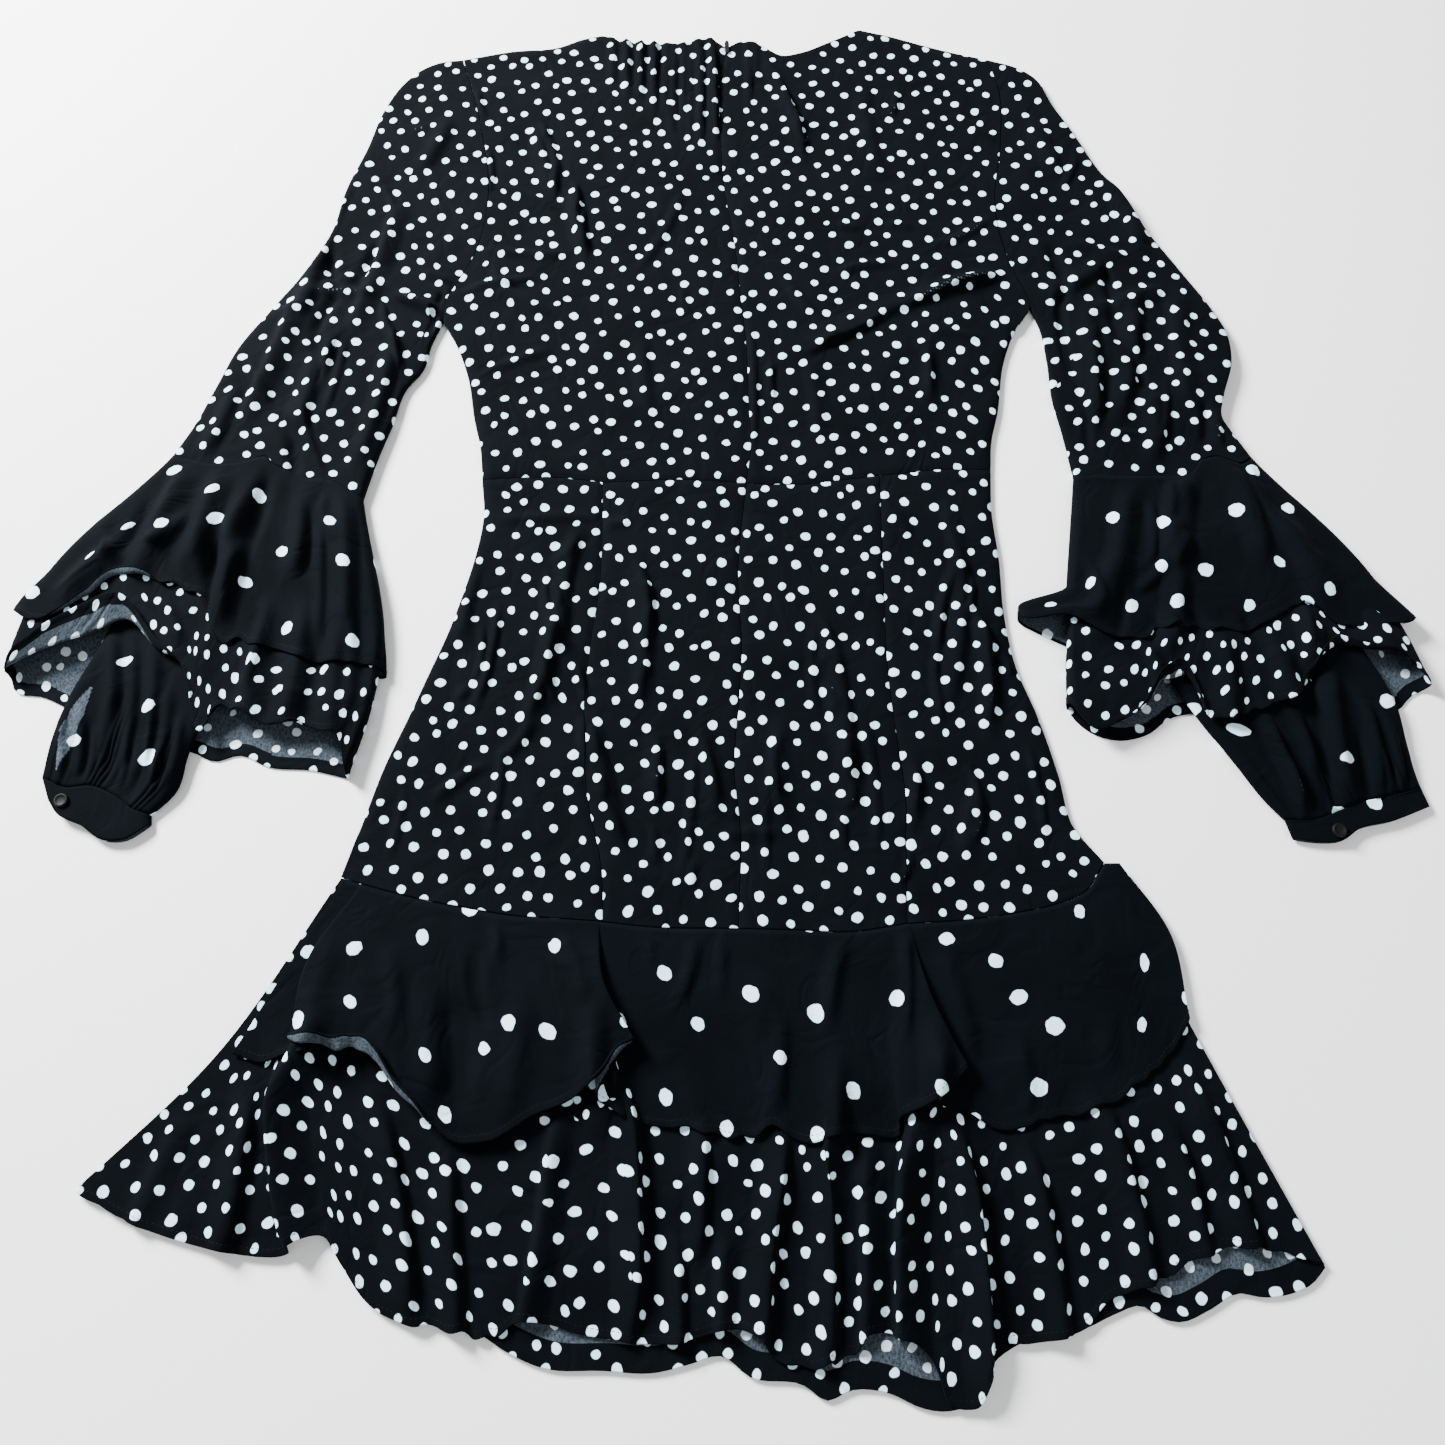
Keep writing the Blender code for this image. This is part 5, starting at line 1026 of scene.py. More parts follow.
def add_hard_piece(name, points, faces, finish, smooth=True):
    """A hard piece as an object, with its material."""
    slot, surface = finish
    mesh = bpy.data.meshes.new(name)
    mesh.from_pydata([tuple(c * MM for c in point) for point in points], [], faces)
    mesh.polygons.foreach_set("use_smooth", np.full(len(mesh.polygons), smooth))
    mesh.update()
    mesh.materials.append(surface)
    dress_piece(name, mesh, slot)


def srgb(code):
    """A colour written as an sRGB hex value, turned to linear."""
    parts = [int(code[k:k + 2], 16) / 255 for k in (1, 3, 5)]
    linear = [c / 12.92 if c <= 0.04045 else ((c + 0.055) / 1.055) ** 2.4 for c in parts]
    return (*linear, 1.0)


def add(tree, kind, inputs=None, **settings):
    """A node with its settings, and its inputs filled with values or linked to sockets."""
    node = tree.nodes.new(kind)
    for name, value in settings.items():
        setattr(node, name, value)
    for key, value in (inputs or {}).items():
        socket = node.inputs[key]
        if isinstance(value, bpy.types.NodeSocket):
            tree.links.new(value, socket)
        else:
            socket.default_value = value
    return node


def new_material(name, roughness, **constants):
    """A material with its shader's constant values set on the shader's own sockets."""
    surface = bpy.data.materials.new(name)
    surface.use_nodes = True
    shader = surface.node_tree.nodes["Principled BSDF"]
    shader.inputs["Roughness"].default_value = roughness
    for key, value in constants.items():
        shader.inputs[key.replace("_", " ")].default_value = value
    return surface, surface.node_tree, shader


def print_mask(tree, place, print_size):
    """1 on the printed dots and 0 between, from cloth coordinates in millimetres.

    The dots lie on a triangular lattice, each pushed about a little. Each is an oval of its own
    size, stretch and direction, with a wavering outline, as if drawn by hand.
    """
    spacing, radius, uneven, waver = print_size
    cell = (spacing / math.sqrt(2), spacing * math.sqrt(1.5), 1.0)
    turned = add(tree, "ShaderNodeVectorRotate", {"Vector": place, "Angle": PRINT_TURN},
                 rotation_type="Z_AXIS").outputs[0]
    scaled = add(tree, "ShaderNodeVectorMath", {0: turned, 1: cell}, operation="DIVIDE").outputs[0]
    lattice = add(tree, "ShaderNodeVectorRotate", {"Vector": scaled, "Angle": LATTICE_TURN},
                  rotation_type="Z_AXIS").outputs[0]
    nearest = add(tree, "ShaderNodeTexVoronoi", {"Vector": lattice, "Scale": 1.0,
                                                 "Randomness": uneven},
                  voronoi_dimensions="2D", feature="F1")
    back = add(tree, "ShaderNodeVectorRotate", {"Vector": nearest.outputs["Position"],
                                                "Angle": -LATTICE_TURN},
               rotation_type="Z_AXIS").outputs[0]
    centre = add(tree, "ShaderNodeVectorMath", {0: back, 1: cell}, operation="MULTIPLY").outputs[0]
    from_centre = add(tree, "ShaderNodeVectorMath", {0: turned, 1: centre},
                      operation="SUBTRACT").outputs[0]
    noise = add(tree, "ShaderNodeTexNoise", {"Vector": place, "Scale": 1.0 / WAVER_LENGTH,
                                             "Detail": 1.0}, noise_dimensions="2D")
    push = add(tree, "ShaderNodeVectorMath", {0: noise.outputs["Color"], 1: (0.5, 0.5, 0.5)},
               operation="SUBTRACT").outputs[0]
    push = add(tree, "ShaderNodeVectorMath", {0: push, 1: (2 * waver, 2 * waver, 0.0)},
               operation="MULTIPLY").outputs[0]
    wavered = add(tree, "ShaderNodeVectorMath", {0: from_centre, 1: push}, operation="ADD").outputs[0]
    chance = add(tree, "ShaderNodeSeparateColor", {0: nearest.outputs["Color"]})
    angle = add(tree, "ShaderNodeMath", {0: chance.outputs[0], 1: 2 * math.pi},
                operation="MULTIPLY").outputs[0]
    spun = add(tree, "ShaderNodeVectorRotate", {"Vector": wavered, "Angle": angle},
               rotation_type="Z_AXIS").outputs[0]
    stretch = add(tree, "ShaderNodeMapRange", {0: chance.outputs[1], 3: DOT_STRETCH[0],
                                               4: DOT_STRETCH[1]}).outputs[0]
    shape = add(tree, "ShaderNodeCombineXYZ", {0: stretch, 1: 1.0, 2: 0.0}).outputs[0]
    oval = add(tree, "ShaderNodeVectorMath", {0: spun, 1: shape}, operation="MULTIPLY").outputs[0]
    reach = add(tree, "ShaderNodeVectorMath", {0: oval}, operation="LENGTH").outputs["Value"]
    size = add(tree, "ShaderNodeMapRange", {0: chance.outputs[2], 3: radius * DOT_SIZES[0],
                                            4: radius * DOT_SIZES[1]}).outputs[0]
    past = add(tree, "ShaderNodeMath", {0: reach, 1: size}, operation="SUBTRACT").outputs[0]
    return add(tree, "ShaderNodeMapRange", {0: past, 1: -INK_EDGE, 2: INK_EDGE, 3: 1.0, 4: 0.0},
               interpolation_type="SMOOTHSTEP").outputs[0]


def cloth_place(tree):
    """Cloth coordinates in millimetres."""
    place = add(tree, "ShaderNodeUVMap", uv_map="Cloth").outputs[0]
    return add(tree, "ShaderNodeVectorMath", {0: place, 1: (1 / MM, 1 / MM, 1.0)},
               operation="MULTIPLY").outputs[0]


def crepe_bump(tree, place, strength):
    """The pebbled surface of crepe: a fine crinkle under crossed threads, and soft rumples."""
    crinkle = add(tree, "ShaderNodeTexNoise", {"Vector": place, "Scale": 1 / CRINKLE,
                                               "Detail": 3.0, "Roughness": 0.6},
                  noise_dimensions="2D").outputs[0]
    warp, weft = [add(tree, "ShaderNodeTexWave", {"Vector": place, "Scale": ONE_BAND / THREAD,
                                                  "Distortion": 1.2, "Detail": 1.0},
                      bands_direction=way).outputs[1] for way in "XY"]
    threads = add(tree, "ShaderNodeMath", {0: warp, 1: weft}, operation="MAXIMUM").outputs[0]
    rumple = add(tree, "ShaderNodeTexNoise", {"Vector": place, "Scale": 1 / RUMPLE,
                                              "Detail": 2.0, "Distortion": 0.6},
                 noise_dimensions="2D").outputs[0]
    away = add(tree, "ShaderNodeMath", {0: rumple, 1: 0.5}, operation="SUBTRACT").outputs[0]
    away = add(tree, "ShaderNodeMath", {0: away}, operation="ABSOLUTE").outputs[0]
    crease = add(tree, "ShaderNodeMapRange", {0: away, 1: 0.0, 2: RUMPLE_WIDTH, 3: 0.0,
                                              4: RUMPLE_HEIGHT},
                 interpolation_type="SMOOTHSTEP").outputs[0]
    height = add(tree, "ShaderNodeMath", {0: threads, 1: THREAD_HEIGHT, 2: crinkle},
                 operation="MULTIPLY_ADD").outputs[0]
    height = add(tree, "ShaderNodeMath", {0: height, 1: crease}, operation="ADD").outputs[0]
    return add(tree, "ShaderNodeBump", {"Height": height, "Strength": strength,
                                        "Distance": CREPE_DEPTH * MM}).outputs[0], threads


def colour_by(tree, shader, share, dark, light, bump=None):
    """Gives a shader a colour between two others, by a share from 0 to 1, and its bump."""
    colour = add(tree, "ShaderNodeMix", {0: share, 6: dark, 7: light}, data_type="RGBA").outputs[2]
    tree.links.new(colour, shader.inputs["Base Color"])
    if bump is not None:
        tree.links.new(bump, shader.inputs["Normal"])


def printed_crepe(name, print_size, cloth_dark, cloth_light):
    """Polyester crepe, woven matte black and screen printed with pale dots.

    The twisted threads scatter light, so it has a faint sheen at glancing angles and no gloss.
    """
    surface, tree, shader = new_material(name, 0.85, Specular_IOR_Level=0.02, Sheen_Weight=0.004,
                                         Sheen_Roughness=0.5)
    place = cloth_place(tree)
    mask = print_mask(tree, place, print_size)
    bump, threads = crepe_bump(tree, place, 0.35)
    cloud = add(tree, "ShaderNodeTexNoise", {"Vector": place, "Scale": 1 / CLOUDING,
                                             "Detail": 2.0}, noise_dimensions="2D").outputs[0]
    mottle = add(tree, "ShaderNodeMath", {0: threads, 1: 0.45, 2: cloud},
                 operation="MULTIPLY_ADD").outputs[0]
    ground, ink = [add(tree, "ShaderNodeMix", {0: mottle, 6: srgb(dark), 7: srgb(light)},
                       data_type="RGBA").outputs[2]
                   for dark, light in ((cloth_dark, cloth_light), ("#bcdeee", "#d2f2ff"))]
    colour_by(tree, shader, mask, ground, ink, bump)
    return surface


def crepe_inside(name, print_size):
    """The wrong side of the same crepe: a grey heathered weave, with the dots soaked through."""
    surface, tree, shader = new_material(name, 0.9, Specular_IOR_Level=0.05, Sheen_Weight=0.01,
                                         Sheen_Roughness=0.5)
    place = cloth_place(tree)
    mask = print_mask(tree, place, print_size)
    bump, threads = crepe_bump(tree, place, 0.6)
    slubs = add(tree, "ShaderNodeVectorMath", {0: place, 1: (0.8, 0.45, 1.0)},
                operation="MULTIPLY").outputs[0]
    heather = add(tree, "ShaderNodeTexNoise", {"Vector": slubs, "Scale": 1.0, "Detail": 4.0,
                                               "Roughness": 0.75}, noise_dimensions="2D").outputs[0]
    spread = add(tree, "ShaderNodeMapRange", {0: heather, 1: 0.34, 2: 0.66}).outputs[0]
    mottle = add(tree, "ShaderNodeMath", {0: threads, 1: 0.25, 2: spread},
                 operation="MULTIPLY_ADD").outputs[0]
    ground = add(tree, "ShaderNodeMix", {0: mottle, 6: srgb("#101316"), 7: srgb("#3d4750")},
                 data_type="RGBA").outputs[2]
    soaked = add(tree, "ShaderNodeMath", {0: mask, 1: 0.85}, operation="MULTIPLY").outputs[0]
    colour_by(tree, shader, soaked, ground, srgb("#cfe0ea"), bump)
    return surface


def small_part(name, roughness, dark, light, kind, inputs, output=0, bump=None, constants=None,
               **settings):
    """A material for a small part, mottled between two dark colours by a pattern on the object."""
    surface, tree, shader = new_material(name, roughness, **(constants or {}))
    place = add(tree, "ShaderNodeTexCoord").outputs["Object"]
    pattern = add(tree, kind, {"Vector": place, **inputs}, **settings).outputs[output]
    relief = add(tree, "ShaderNodeBump", {"Height": pattern, **bump}).outputs[0] if bump else None
    colour_by(tree, shader, pattern, srgb(dark), srgb(light), relief)
    return surface


DOTTED = ("dotted_crepe", printed_crepe("Dotted_Crepe_Printed", SMALL_PRINT, "#020304", "#06090d"),
          crepe_inside("Dotted_Crepe_Wrong_Side", SMALL_PRINT))
SPOTTED = ("spotted_crepe",
           printed_crepe("Spotted_Crepe_Printed", LARGE_PRINT, "#020304", "#05080c"),
           crepe_inside("Spotted_Crepe_Wrong_Side", LARGE_PRINT))

# A button moulded of polyester resin and tumbled, which leaves it smooth but not glassy
HORN = ("button", small_part("Moulded_Polyester_Button", 0.6, "#030304", "#09090b",
                             "ShaderNodeTexNoise", {"Scale": 260.0, "Distortion": 1.5},
                             constants={"Specular_IOR_Level": 0.12}))

# A die-cast zinc slider under black lacquer, a little rubbed where fingers hold it
LACQUER = ("zip_slider", small_part("Lacquered_Zinc_Slider", 0.5, "#040405", "#0e0e10",
                                    "ShaderNodeTexNoise", {"Scale": 420.0, "Detail": 3.0},
                                    constants={"Specular_IOR_Level": 0.2, "Coat_Weight": 0.05}))

# Polyester zip tape in a fine herringbone weave, 1 mm from rib to rib, which lies dull and flat
WOVEN = small_part("Woven_Polyester_Tape", 0.75, "#0b0b0d", "#1a1a1e", "ShaderNodeTexWave",
                   {"Scale": ONE_BAND / MM, "Distortion": 0.5}, output=1,
                   bump={"Strength": 0.4, "Distance": 0.3 * MM},
                   constants={"Specular_IOR_Level": 0.3}, bands_direction="DIAGONAL")
TAPE = ("zip_tape", WOVEN, WOVEN)

# Spun polyester sewing thread, dull black with a soft lustre
THREAD_BLACK = small_part("Spun_Polyester_Thread", 0.7, "#040506", "#0a0c0f",
                          "ShaderNodeTexNoise", {"Scale": 900.0},
                          constants={"Specular_IOR_Level": 0.1})


def panel_plan(edges, spacing):
    """Shares across and down a piece between four edges, and its plan, a little inside them."""
    ways = []
    for first, second in (edges[:2], edges[2:]):
        sizes = length(first), length(second)
        inset = GAP / sum(sizes)
        ways.append(inset + stations(max(sizes), spacing) * (1 - 2 * inset))
    u, v = np.meshgrid(*ways)
    return u, v, patch(*edges, u, v)


def back_panel(name, edges, offset):
    """A piece of the body's back, dense enough for its creases."""
    u, v, plan = panel_plan(edges, BODY_SPACING)
    middle = back_of_body(plan)
    grid = middle + grid_normals(middle) * (WALL - CLOTH) / 2
    add_piece(name, Cloth(grid, plan_cloth(plan, grid)), DOTTED, offset)


def front_panel(name, edges, finish, offset, low=0.0, wave=0.0, spacing=FRONT_SPACING, hem=False):
    """A piece of the front, face down, with shallow creases pressed into it."""
    u, v, plan = panel_plan(edges, spacing)
    across, down = np.minimum(u, 1 - u) * length(edges[0]), np.minimum(v, 1 - v) * length(edges[2])
    rim = ease(np.minimum(across, down) / RIM_REACH)
    height = low + CLOTH / 2 + HEM_RISE / 2
    lift = wave * (0.5 + 0.5 * np.sin(plan[..., 0] / 23 + 1.9 * np.sin(plan[..., 1] / 61)))
    lift *= 0.5 + 0.5 * np.sin(plan[..., 1] / 37 + 1.3 * np.sin(plan[..., 0] / 47))
    grid = at_height(plan, height + lift * rim)
    cloth = Cloth(grid, plan_cloth(plan, grid), face_down=True, hem=hem,
                  facing=HEM_FACING if hem else 0.0)
    add_piece(name, cloth, finish, offset)


def lowered_neck(points, drop):
    """The front neck edge, lower than the back's towards its middle."""
    neck = curve(points)
    share = (neck[:, 0] - neck[0, 0]) / (neck[-1, 0] - neck[0, 0])
    neck[:, 1] -= drop * np.sin(np.pi * np.clip(share, 0, 1))
    return neck


def make_fronts():
    """Bodice, skirt and both flounce fronts, which lie on the floor."""
    neck = lowered_neck(NECK_LEFT + NECK_RIGHT[1:], FRONT_NECK_DROP)
    shoulders = edge(SHOULDER_LEFT, neck, SHOULDER_RIGHT)
    front_panel("bodice_front", (shoulders, WAIST, *body_sides()), DOTTED, (13, 7),
                wave=FRONT_WAVE)
    edges = (WAIST, FLOUNCE_SEAM, edge(SKIRT_SIDE_LEFT), edge(SKIRT_SIDE_RIGHT))
    front_panel("skirt_front", edges, DOTTED, (41, 19), wave=FRONT_WAVE)
    left, right = FRONT_FLOUNCE_SIDES
    edges = (FLOUNCE_SEAM, edge(FRONT_UPPER_HEM), edge([*left[:2], FRONT_UPPER_HEM[0]]),
             edge([*right[:2], FRONT_UPPER_HEM[-1]]))
    front_panel("upper_flounce_front", edges, SPOTTED, (5, 29), hem=True)
    edges = (FLOUNCE_SEAM, edge(FRONT_LOWER_HEM), edge([*left, FRONT_LOWER_HEM[0]]),
             edge([*right, FRONT_LOWER_HEM[-1]]))
    front_panel("lower_flounce_front", edges, DOTTED, (3, 11), low=PITCH, wave=FLOUNCE_FRONT_WAVE,
                spacing=FLOUNCE_FRONT_SPACING, hem=True)


def make_body():
    """Two bodice halves either side of the zip, and four gores below the waist."""
    left_side, right_side = body_sides()
    centre = edge(CENTRE_BACK)
    halves = (
        ("bodice_back_left", (SHOULDER_LEFT, NECK_LEFT), (WAIST_LEFT_SIDE, WAIST_LEFT_CENTRE),
         left_side, centre, (0, 0)),
        ("bodice_back_right", (NECK_RIGHT, SHOULDER_RIGHT), (WAIST_RIGHT_CENTRE, WAIST_RIGHT_SIDE),
         centre, right_side, (8, 5)))
    for name, top, bottom, left, right, offset in halves:
        back_panel(name, (edge(*top), edge(*bottom), left, right), offset)
    gores = (
        ("skirt_side_left", WAIST_LEFT_SIDE, SEAM_LEFT_SIDE, SKIRT_SIDE_LEFT, GORE_LEFT),
        ("skirt_centre_left", WAIST_LEFT_CENTRE, SEAM_LEFT_CENTRE, GORE_LEFT, CENTRE_SKIRT),
        ("skirt_centre_right", WAIST_RIGHT_CENTRE, SEAM_RIGHT_CENTRE, CENTRE_SKIRT, GORE_RIGHT),
        ("skirt_side_right", WAIST_RIGHT_SIDE, SEAM_RIGHT_SIDE, GORE_RIGHT, SKIRT_SIDE_RIGHT))
    for order, (name, *lines) in enumerate(gores):
        back_panel(name, [edge(line) for line in lines], (5 + 9 * order, 3 + 4 * order))


def three_stations(seam, upper, lower, v):
    """A smooth path through a seam at v 0, an upper hem at 1 and a lower hem at 2."""
    v = v[..., None]
    first = np.linalg.norm(upper - seam, axis=-1, keepdims=True)
    second = np.linalg.norm(lower - upper, axis=-1, keepdims=True)
    start, end = (upper - seam) / first, (lower - upper) / second
    turn = (start * second + end * first) / (first + second)
    above = cubic(seam, upper, start, turn, first, v)
    below = cubic(upper, lower, turn, end, second, v - 1)
    return np.where(v < 1, above, below)


def rib_reader(rows, by_seam=False):
    """Rib values at shares across, taken evenly by rib or by length along the seam."""
    table = np.asarray(rows, float)
    knots = summed(step_sizes(table[:, :2])) if by_seam else np.arange(len(table), dtype=float)
    knots /= knots[-1]

    def values(u):
        flat = spline(knots, table, np.clip(u, 0, 1).ravel())
        return flat.reshape(u.shape + (table.shape[1],))
    return values


FLOUNCE_VALUES = rib_reader(FLOUNCE_RIBS)
UPPER_VALUES = rib_reader(UPPER_RIBS)


def seam_places(x):
    """Points on the flounce seam at these x."""
    return np.stack((x, np.interp(x, FLOUNCE_SEAM[:, 1], FLOUNCE_SEAM[:, 2])), axis=-1)


def flounce_relief(plan, share):
    """How the lower back flounce is folded, which fades out under the upper one."""
    shift = fold_shift(plan, FLOUNCE_FOLDS, FLOUNCE_GAIN)
    shift[..., 2] += crumple(plan, FLOUNCE_CRUMPLE)
    shift[..., 2] = np.maximum(shift[..., 2], 0)
    return shift * ease((share - RELIEF_FROM) / (1 - RELIEF_FROM))[..., None]


def lower_flounce(u, v):
    """Middle surface of the lower back flounce, flat under the upper one and folded below it."""
    ribs = FLOUNCE_VALUES(u)
    plan = three_stations(seam_places(ribs[..., 0]), ribs[..., 1:3], ribs[..., 3:5], v)
    rim = ease(np.minimum(u, 1 - u) / FLOUNCE_RIM)
    shift = flounce_relief(plan, v) * rim[..., None]
    to_hem = (2 - v) * np.linalg.norm(ribs[..., 3:5] - ribs[..., 1:3], axis=-1)
    shift += hem_wave(plan, to_hem) * ease(v - 1)[..., None]
    shift[..., 2] = np.maximum(shift[..., 2], 0)
    return at_height(plan, LOWER_FLOUNCE) + shift


def upper_flounce(u, v):
    """Middle surface of the upper back flounce. Past its hem line, v turns up and back."""
    row = UPPER_VALUES(u)
    seam = seam_places(row[..., 0])
    middle, hem = row[..., 1:3], row[..., 3:5]
    size = np.linalg.norm(middle - seam, axis=-1) + np.linalg.norm(hem - middle, axis=-1)
    turned = np.maximum(row[..., 6], 0)
    along = v * (size + turned)
    past = along - size
    share = np.where(past < 0, along, size - past) / size
    plan = three_stations(seam, middle, hem, 2 * share)
    shift = fold_shift(plan, UPPER_CREASES, sharp=True)
    shift[..., 2] += crumple(plan, UPPER_CRUMPLE)
    shift *= ease(share / UPPER_SEAM_FADE)[..., None]
    shift += hem_wave(plan, np.abs(past))
    shift[..., 2] += row[..., 5] * ease(share / LIFT_FADE) + turn_rise(past, turned)
    shift[..., 2] = np.maximum(shift[..., 2], 0) + flounce_relief(plan, share)[..., 2]
    return at_height(plan, LOWER_FLOUNCE + PITCH + GAP) + shift


def make_flounces():
    """The two tiers of the back flounce."""
    tiers = (
        ("upper_flounce_back", upper_flounce, UPPER_HEM_LENGTH, UPPER_FLOUNCE_ROWS, NARROW_FACING,
         SEAM_ALLOWANCE, SPOTTED, (17, 3)),
        ("lower_flounce_back", lower_flounce, LOWER_HEM_LENGTH, LOWER_FLOUNCE_ROWS, HEM_FACING,
         0.0, DOTTED, (29, 41)))
    for name, surface, wide, rows, facing, allowance, finish, offset in tiers:
        columns = stations(wide, FLOUNCE_SPACING, FLOUNCE_END, 1 - FLOUNCE_END)
        grid = surface(*np.meshgrid(columns, shares(*rows)))
        cloth = Cloth(grid, rib_cloth(grid), hem=True, facing=facing, allowance=allowance)
        add_piece(name, cloth, finish, offset)


def turned_back(over, u, v, turned, last):
    """Where v lies once the last part of each rib is turned up: v, and how far past the turn."""
    ends = [over(u, np.full_like(v, end)) for end in (last - 1, last)]
    reach = np.linalg.norm(ends[1] - ends[0], axis=-1)
    past = (v - (last - 1)) * (reach + turned) - reach
    moved = np.where(past < 0, (last - 1) + (past + reach) / reach, last - past / reach)
    use = (turned > LEAST_TURN) & (v > last - 1)
    return np.where(use, moved, v), past


def turn_rise(past, turned):
    """The height that cloth gains where it is turned up and laid back on itself."""
    rise = 2 * TURN_RADIUS * ease((past + TURN_RADIUS) / (2 * TURN_RADIUS))
    return rise * np.clip(turned / 2, 0, 1) + TURN_SLOPE * np.clip(past, 0, None)


def flare_shift(u, v, flares):
    """Where a hem stands out: rows of u, its width, the v that it starts from, and x, y, z."""
    shift = np.zeros(u.shape + (3,))
    for centre, width, start, last, dx, dy, dz in flares:
        share = np.exp(-((u - centre) / width) ** 2) * ease((v - start) / (last - start))
        shift += share[..., None] * np.array((dx, dy, dz))
    return shift


def on_floor(v):
    """The middle of a layer that lies on the floor."""
    return np.full_like(v, FLOOR_LAYER)


def tube_surface(over, under, crown, floor=on_floor, folds=(), tip_radius=TIP_RADIUS, gain=1.0,
                 turned_of=np.zeros_like, last=1, flares=((), ()), creases=(), wavy=False,
                 shown_from=-1.0, deepest=lambda plan: DEEPEST_TUBE):
    """A flattened tube: w runs 0 to 1 over the top from the left, then 1 to 2 back beneath.

    over and under give the plan at u, v. crown and floor give the heights of the middle of the
    two layers, and tip_radius is the smallest radius at the two side edges. turned_of gives the
    length of hem that is turned up, and flares are for the top and the layer beneath. A wavy
    tube ends in a hem. Before shown_from the tube is covered by another and has no ridges, and
    deepest tells how far its valleys may go down.
    """
    def shape(v):
        zeros, ones = np.zeros_like(v), np.ones_like(v)
        width = np.linalg.norm(over(ones, v) - over(zeros, v), axis=-1)
        half = (crown(zeros + 0.5, v) - floor(v)) / 2
        return width, np.minimum(EDGE_RADIUS, half ** 2 / tip_radius)

    def surface(w, v):
        w = np.mod(w, 2.0)
        beneath = w > 1
        u = np.where(beneath, 2 - w, w)
        turned = np.where(beneath, 0.0, np.maximum(turned_of(u), 0.0))
        v, past = turned_back(over, u, v, turned, last)
        width, radius = shape(v)
        start, end = over(np.zeros_like(v), v), over(np.ones_like(v), v)
        plan = np.where(beneath[..., None], under(u, v), over(u, v))
        near = np.minimum(np.linalg.norm(plan - start, axis=-1),
                          np.linalg.norm(plan - end, axis=-1))
        plan = plan + unit(end - start) * (EDGE_INSET * (1 - 2 * u))[..., None]
        depth = 1 - np.clip(near / radius, 0, 1)
        round_over = np.sqrt(1 - depth ** 2)
        centre = (crown(np.full_like(u, 0.5), v) + floor(v)) / 2
        height = np.where(beneath, floor(v), crown(u, v)) - centre
        place = at_height(plan, centre + height * round_over)
        shift = fold_shift(plan, folds, gain) + fold_shift(plan, creases, sharp=True)
        shift[..., 2] += crumple(plan, TUBE_CRUMPLE)
        shift *= (round_over * ease(v / TUBE_SEAM_FADE))[..., None]
        if wavy:
            shift += hem_wave(plan, -past) * ease(v - last + 1)[..., None]
        shift[..., 2] = np.maximum(shift[..., 2], -deepest(plan) * round_over)
        shown = ease((v - shown_from) / SHOWN_FADE)
        valley = np.minimum(shift[..., 2], 0)
        shift = shift * shown[..., None]
        shift[..., 2] += (1 - shown) * valley
        shift[..., 2] += turn_rise(past, turned)
        shift += flare_shift(u, v, flares[0])
        return place + np.where(beneath[..., None], flare_shift(u, v, flares[1]), shift)
    return surface, shape


def tube_grid(shape, rows, columns):
    """Grids of w and v, closer together round the side edges. columns are for top and beneath."""
    turns = []
    for share in rows:
        width, radius = shape(np.array(share))
        rim = EDGE_COLUMNS * radius / width
        top = np.linspace(rim[-1], 1 - rim[-1], columns[0])[1:-1]
        low = np.linspace(1 + rim[-1], 2 - rim[-1], columns[1])[1:-1]
        turns.append(np.concatenate((rim, top, 1 - rim[::-1], 1 + rim[1:], low, 2 - rim[:0:-1])))
    w = np.array(turns)
    return w, np.repeat(np.asarray(rows)[:, None], w.shape[1], axis=1)


def add_tube(name, tube, rows, columns, finish, offset, inwards=None, hem=False, facing=0.0,
             by_plan=False, bare_at=None):
    """A tube's cloth. inwards moves it towards the inside by a length that varies with v, and
    bare_at tells where its wrong side shows.
    """
    surface, shape = tube
    w, v = tube_grid(shape, rows, columns)
    middle = surface(w, v)
    normals = grid_normals(middle, ring=True)
    shift = np.full(v.shape, (WALL - CLOTH) / 2)
    if inwards is not None:
        shift = shift - inwards(v)
        side = np.where(w < 1, 1, -1)
        folded = (normals[..., 2] * side < FOLDED_OVER) & (v < COVERED)
        normals = np.where(folded[..., None], -normals, normals)
    grid = middle + normals * shift[..., None]
    grid[..., 2] = np.maximum(grid[..., 2], CLOTH / 2 + HEM_RISE / 2)
    closed = np.concatenate((grid, grid[:, :1]), axis=1)
    places = plan_cloth(closed[..., :2], closed) if by_plan else rib_cloth(closed)
    cloth = Cloth(grid, places, ring=True, hem=hem, facing=facing)
    if bare_at is not None:
        cloth.bare = bare_at(w, v)[:-1]
    add_piece(name, cloth, finish, offset)


def seam_of(ribs):
    return [(row[0], row[1]) for row in ribs]


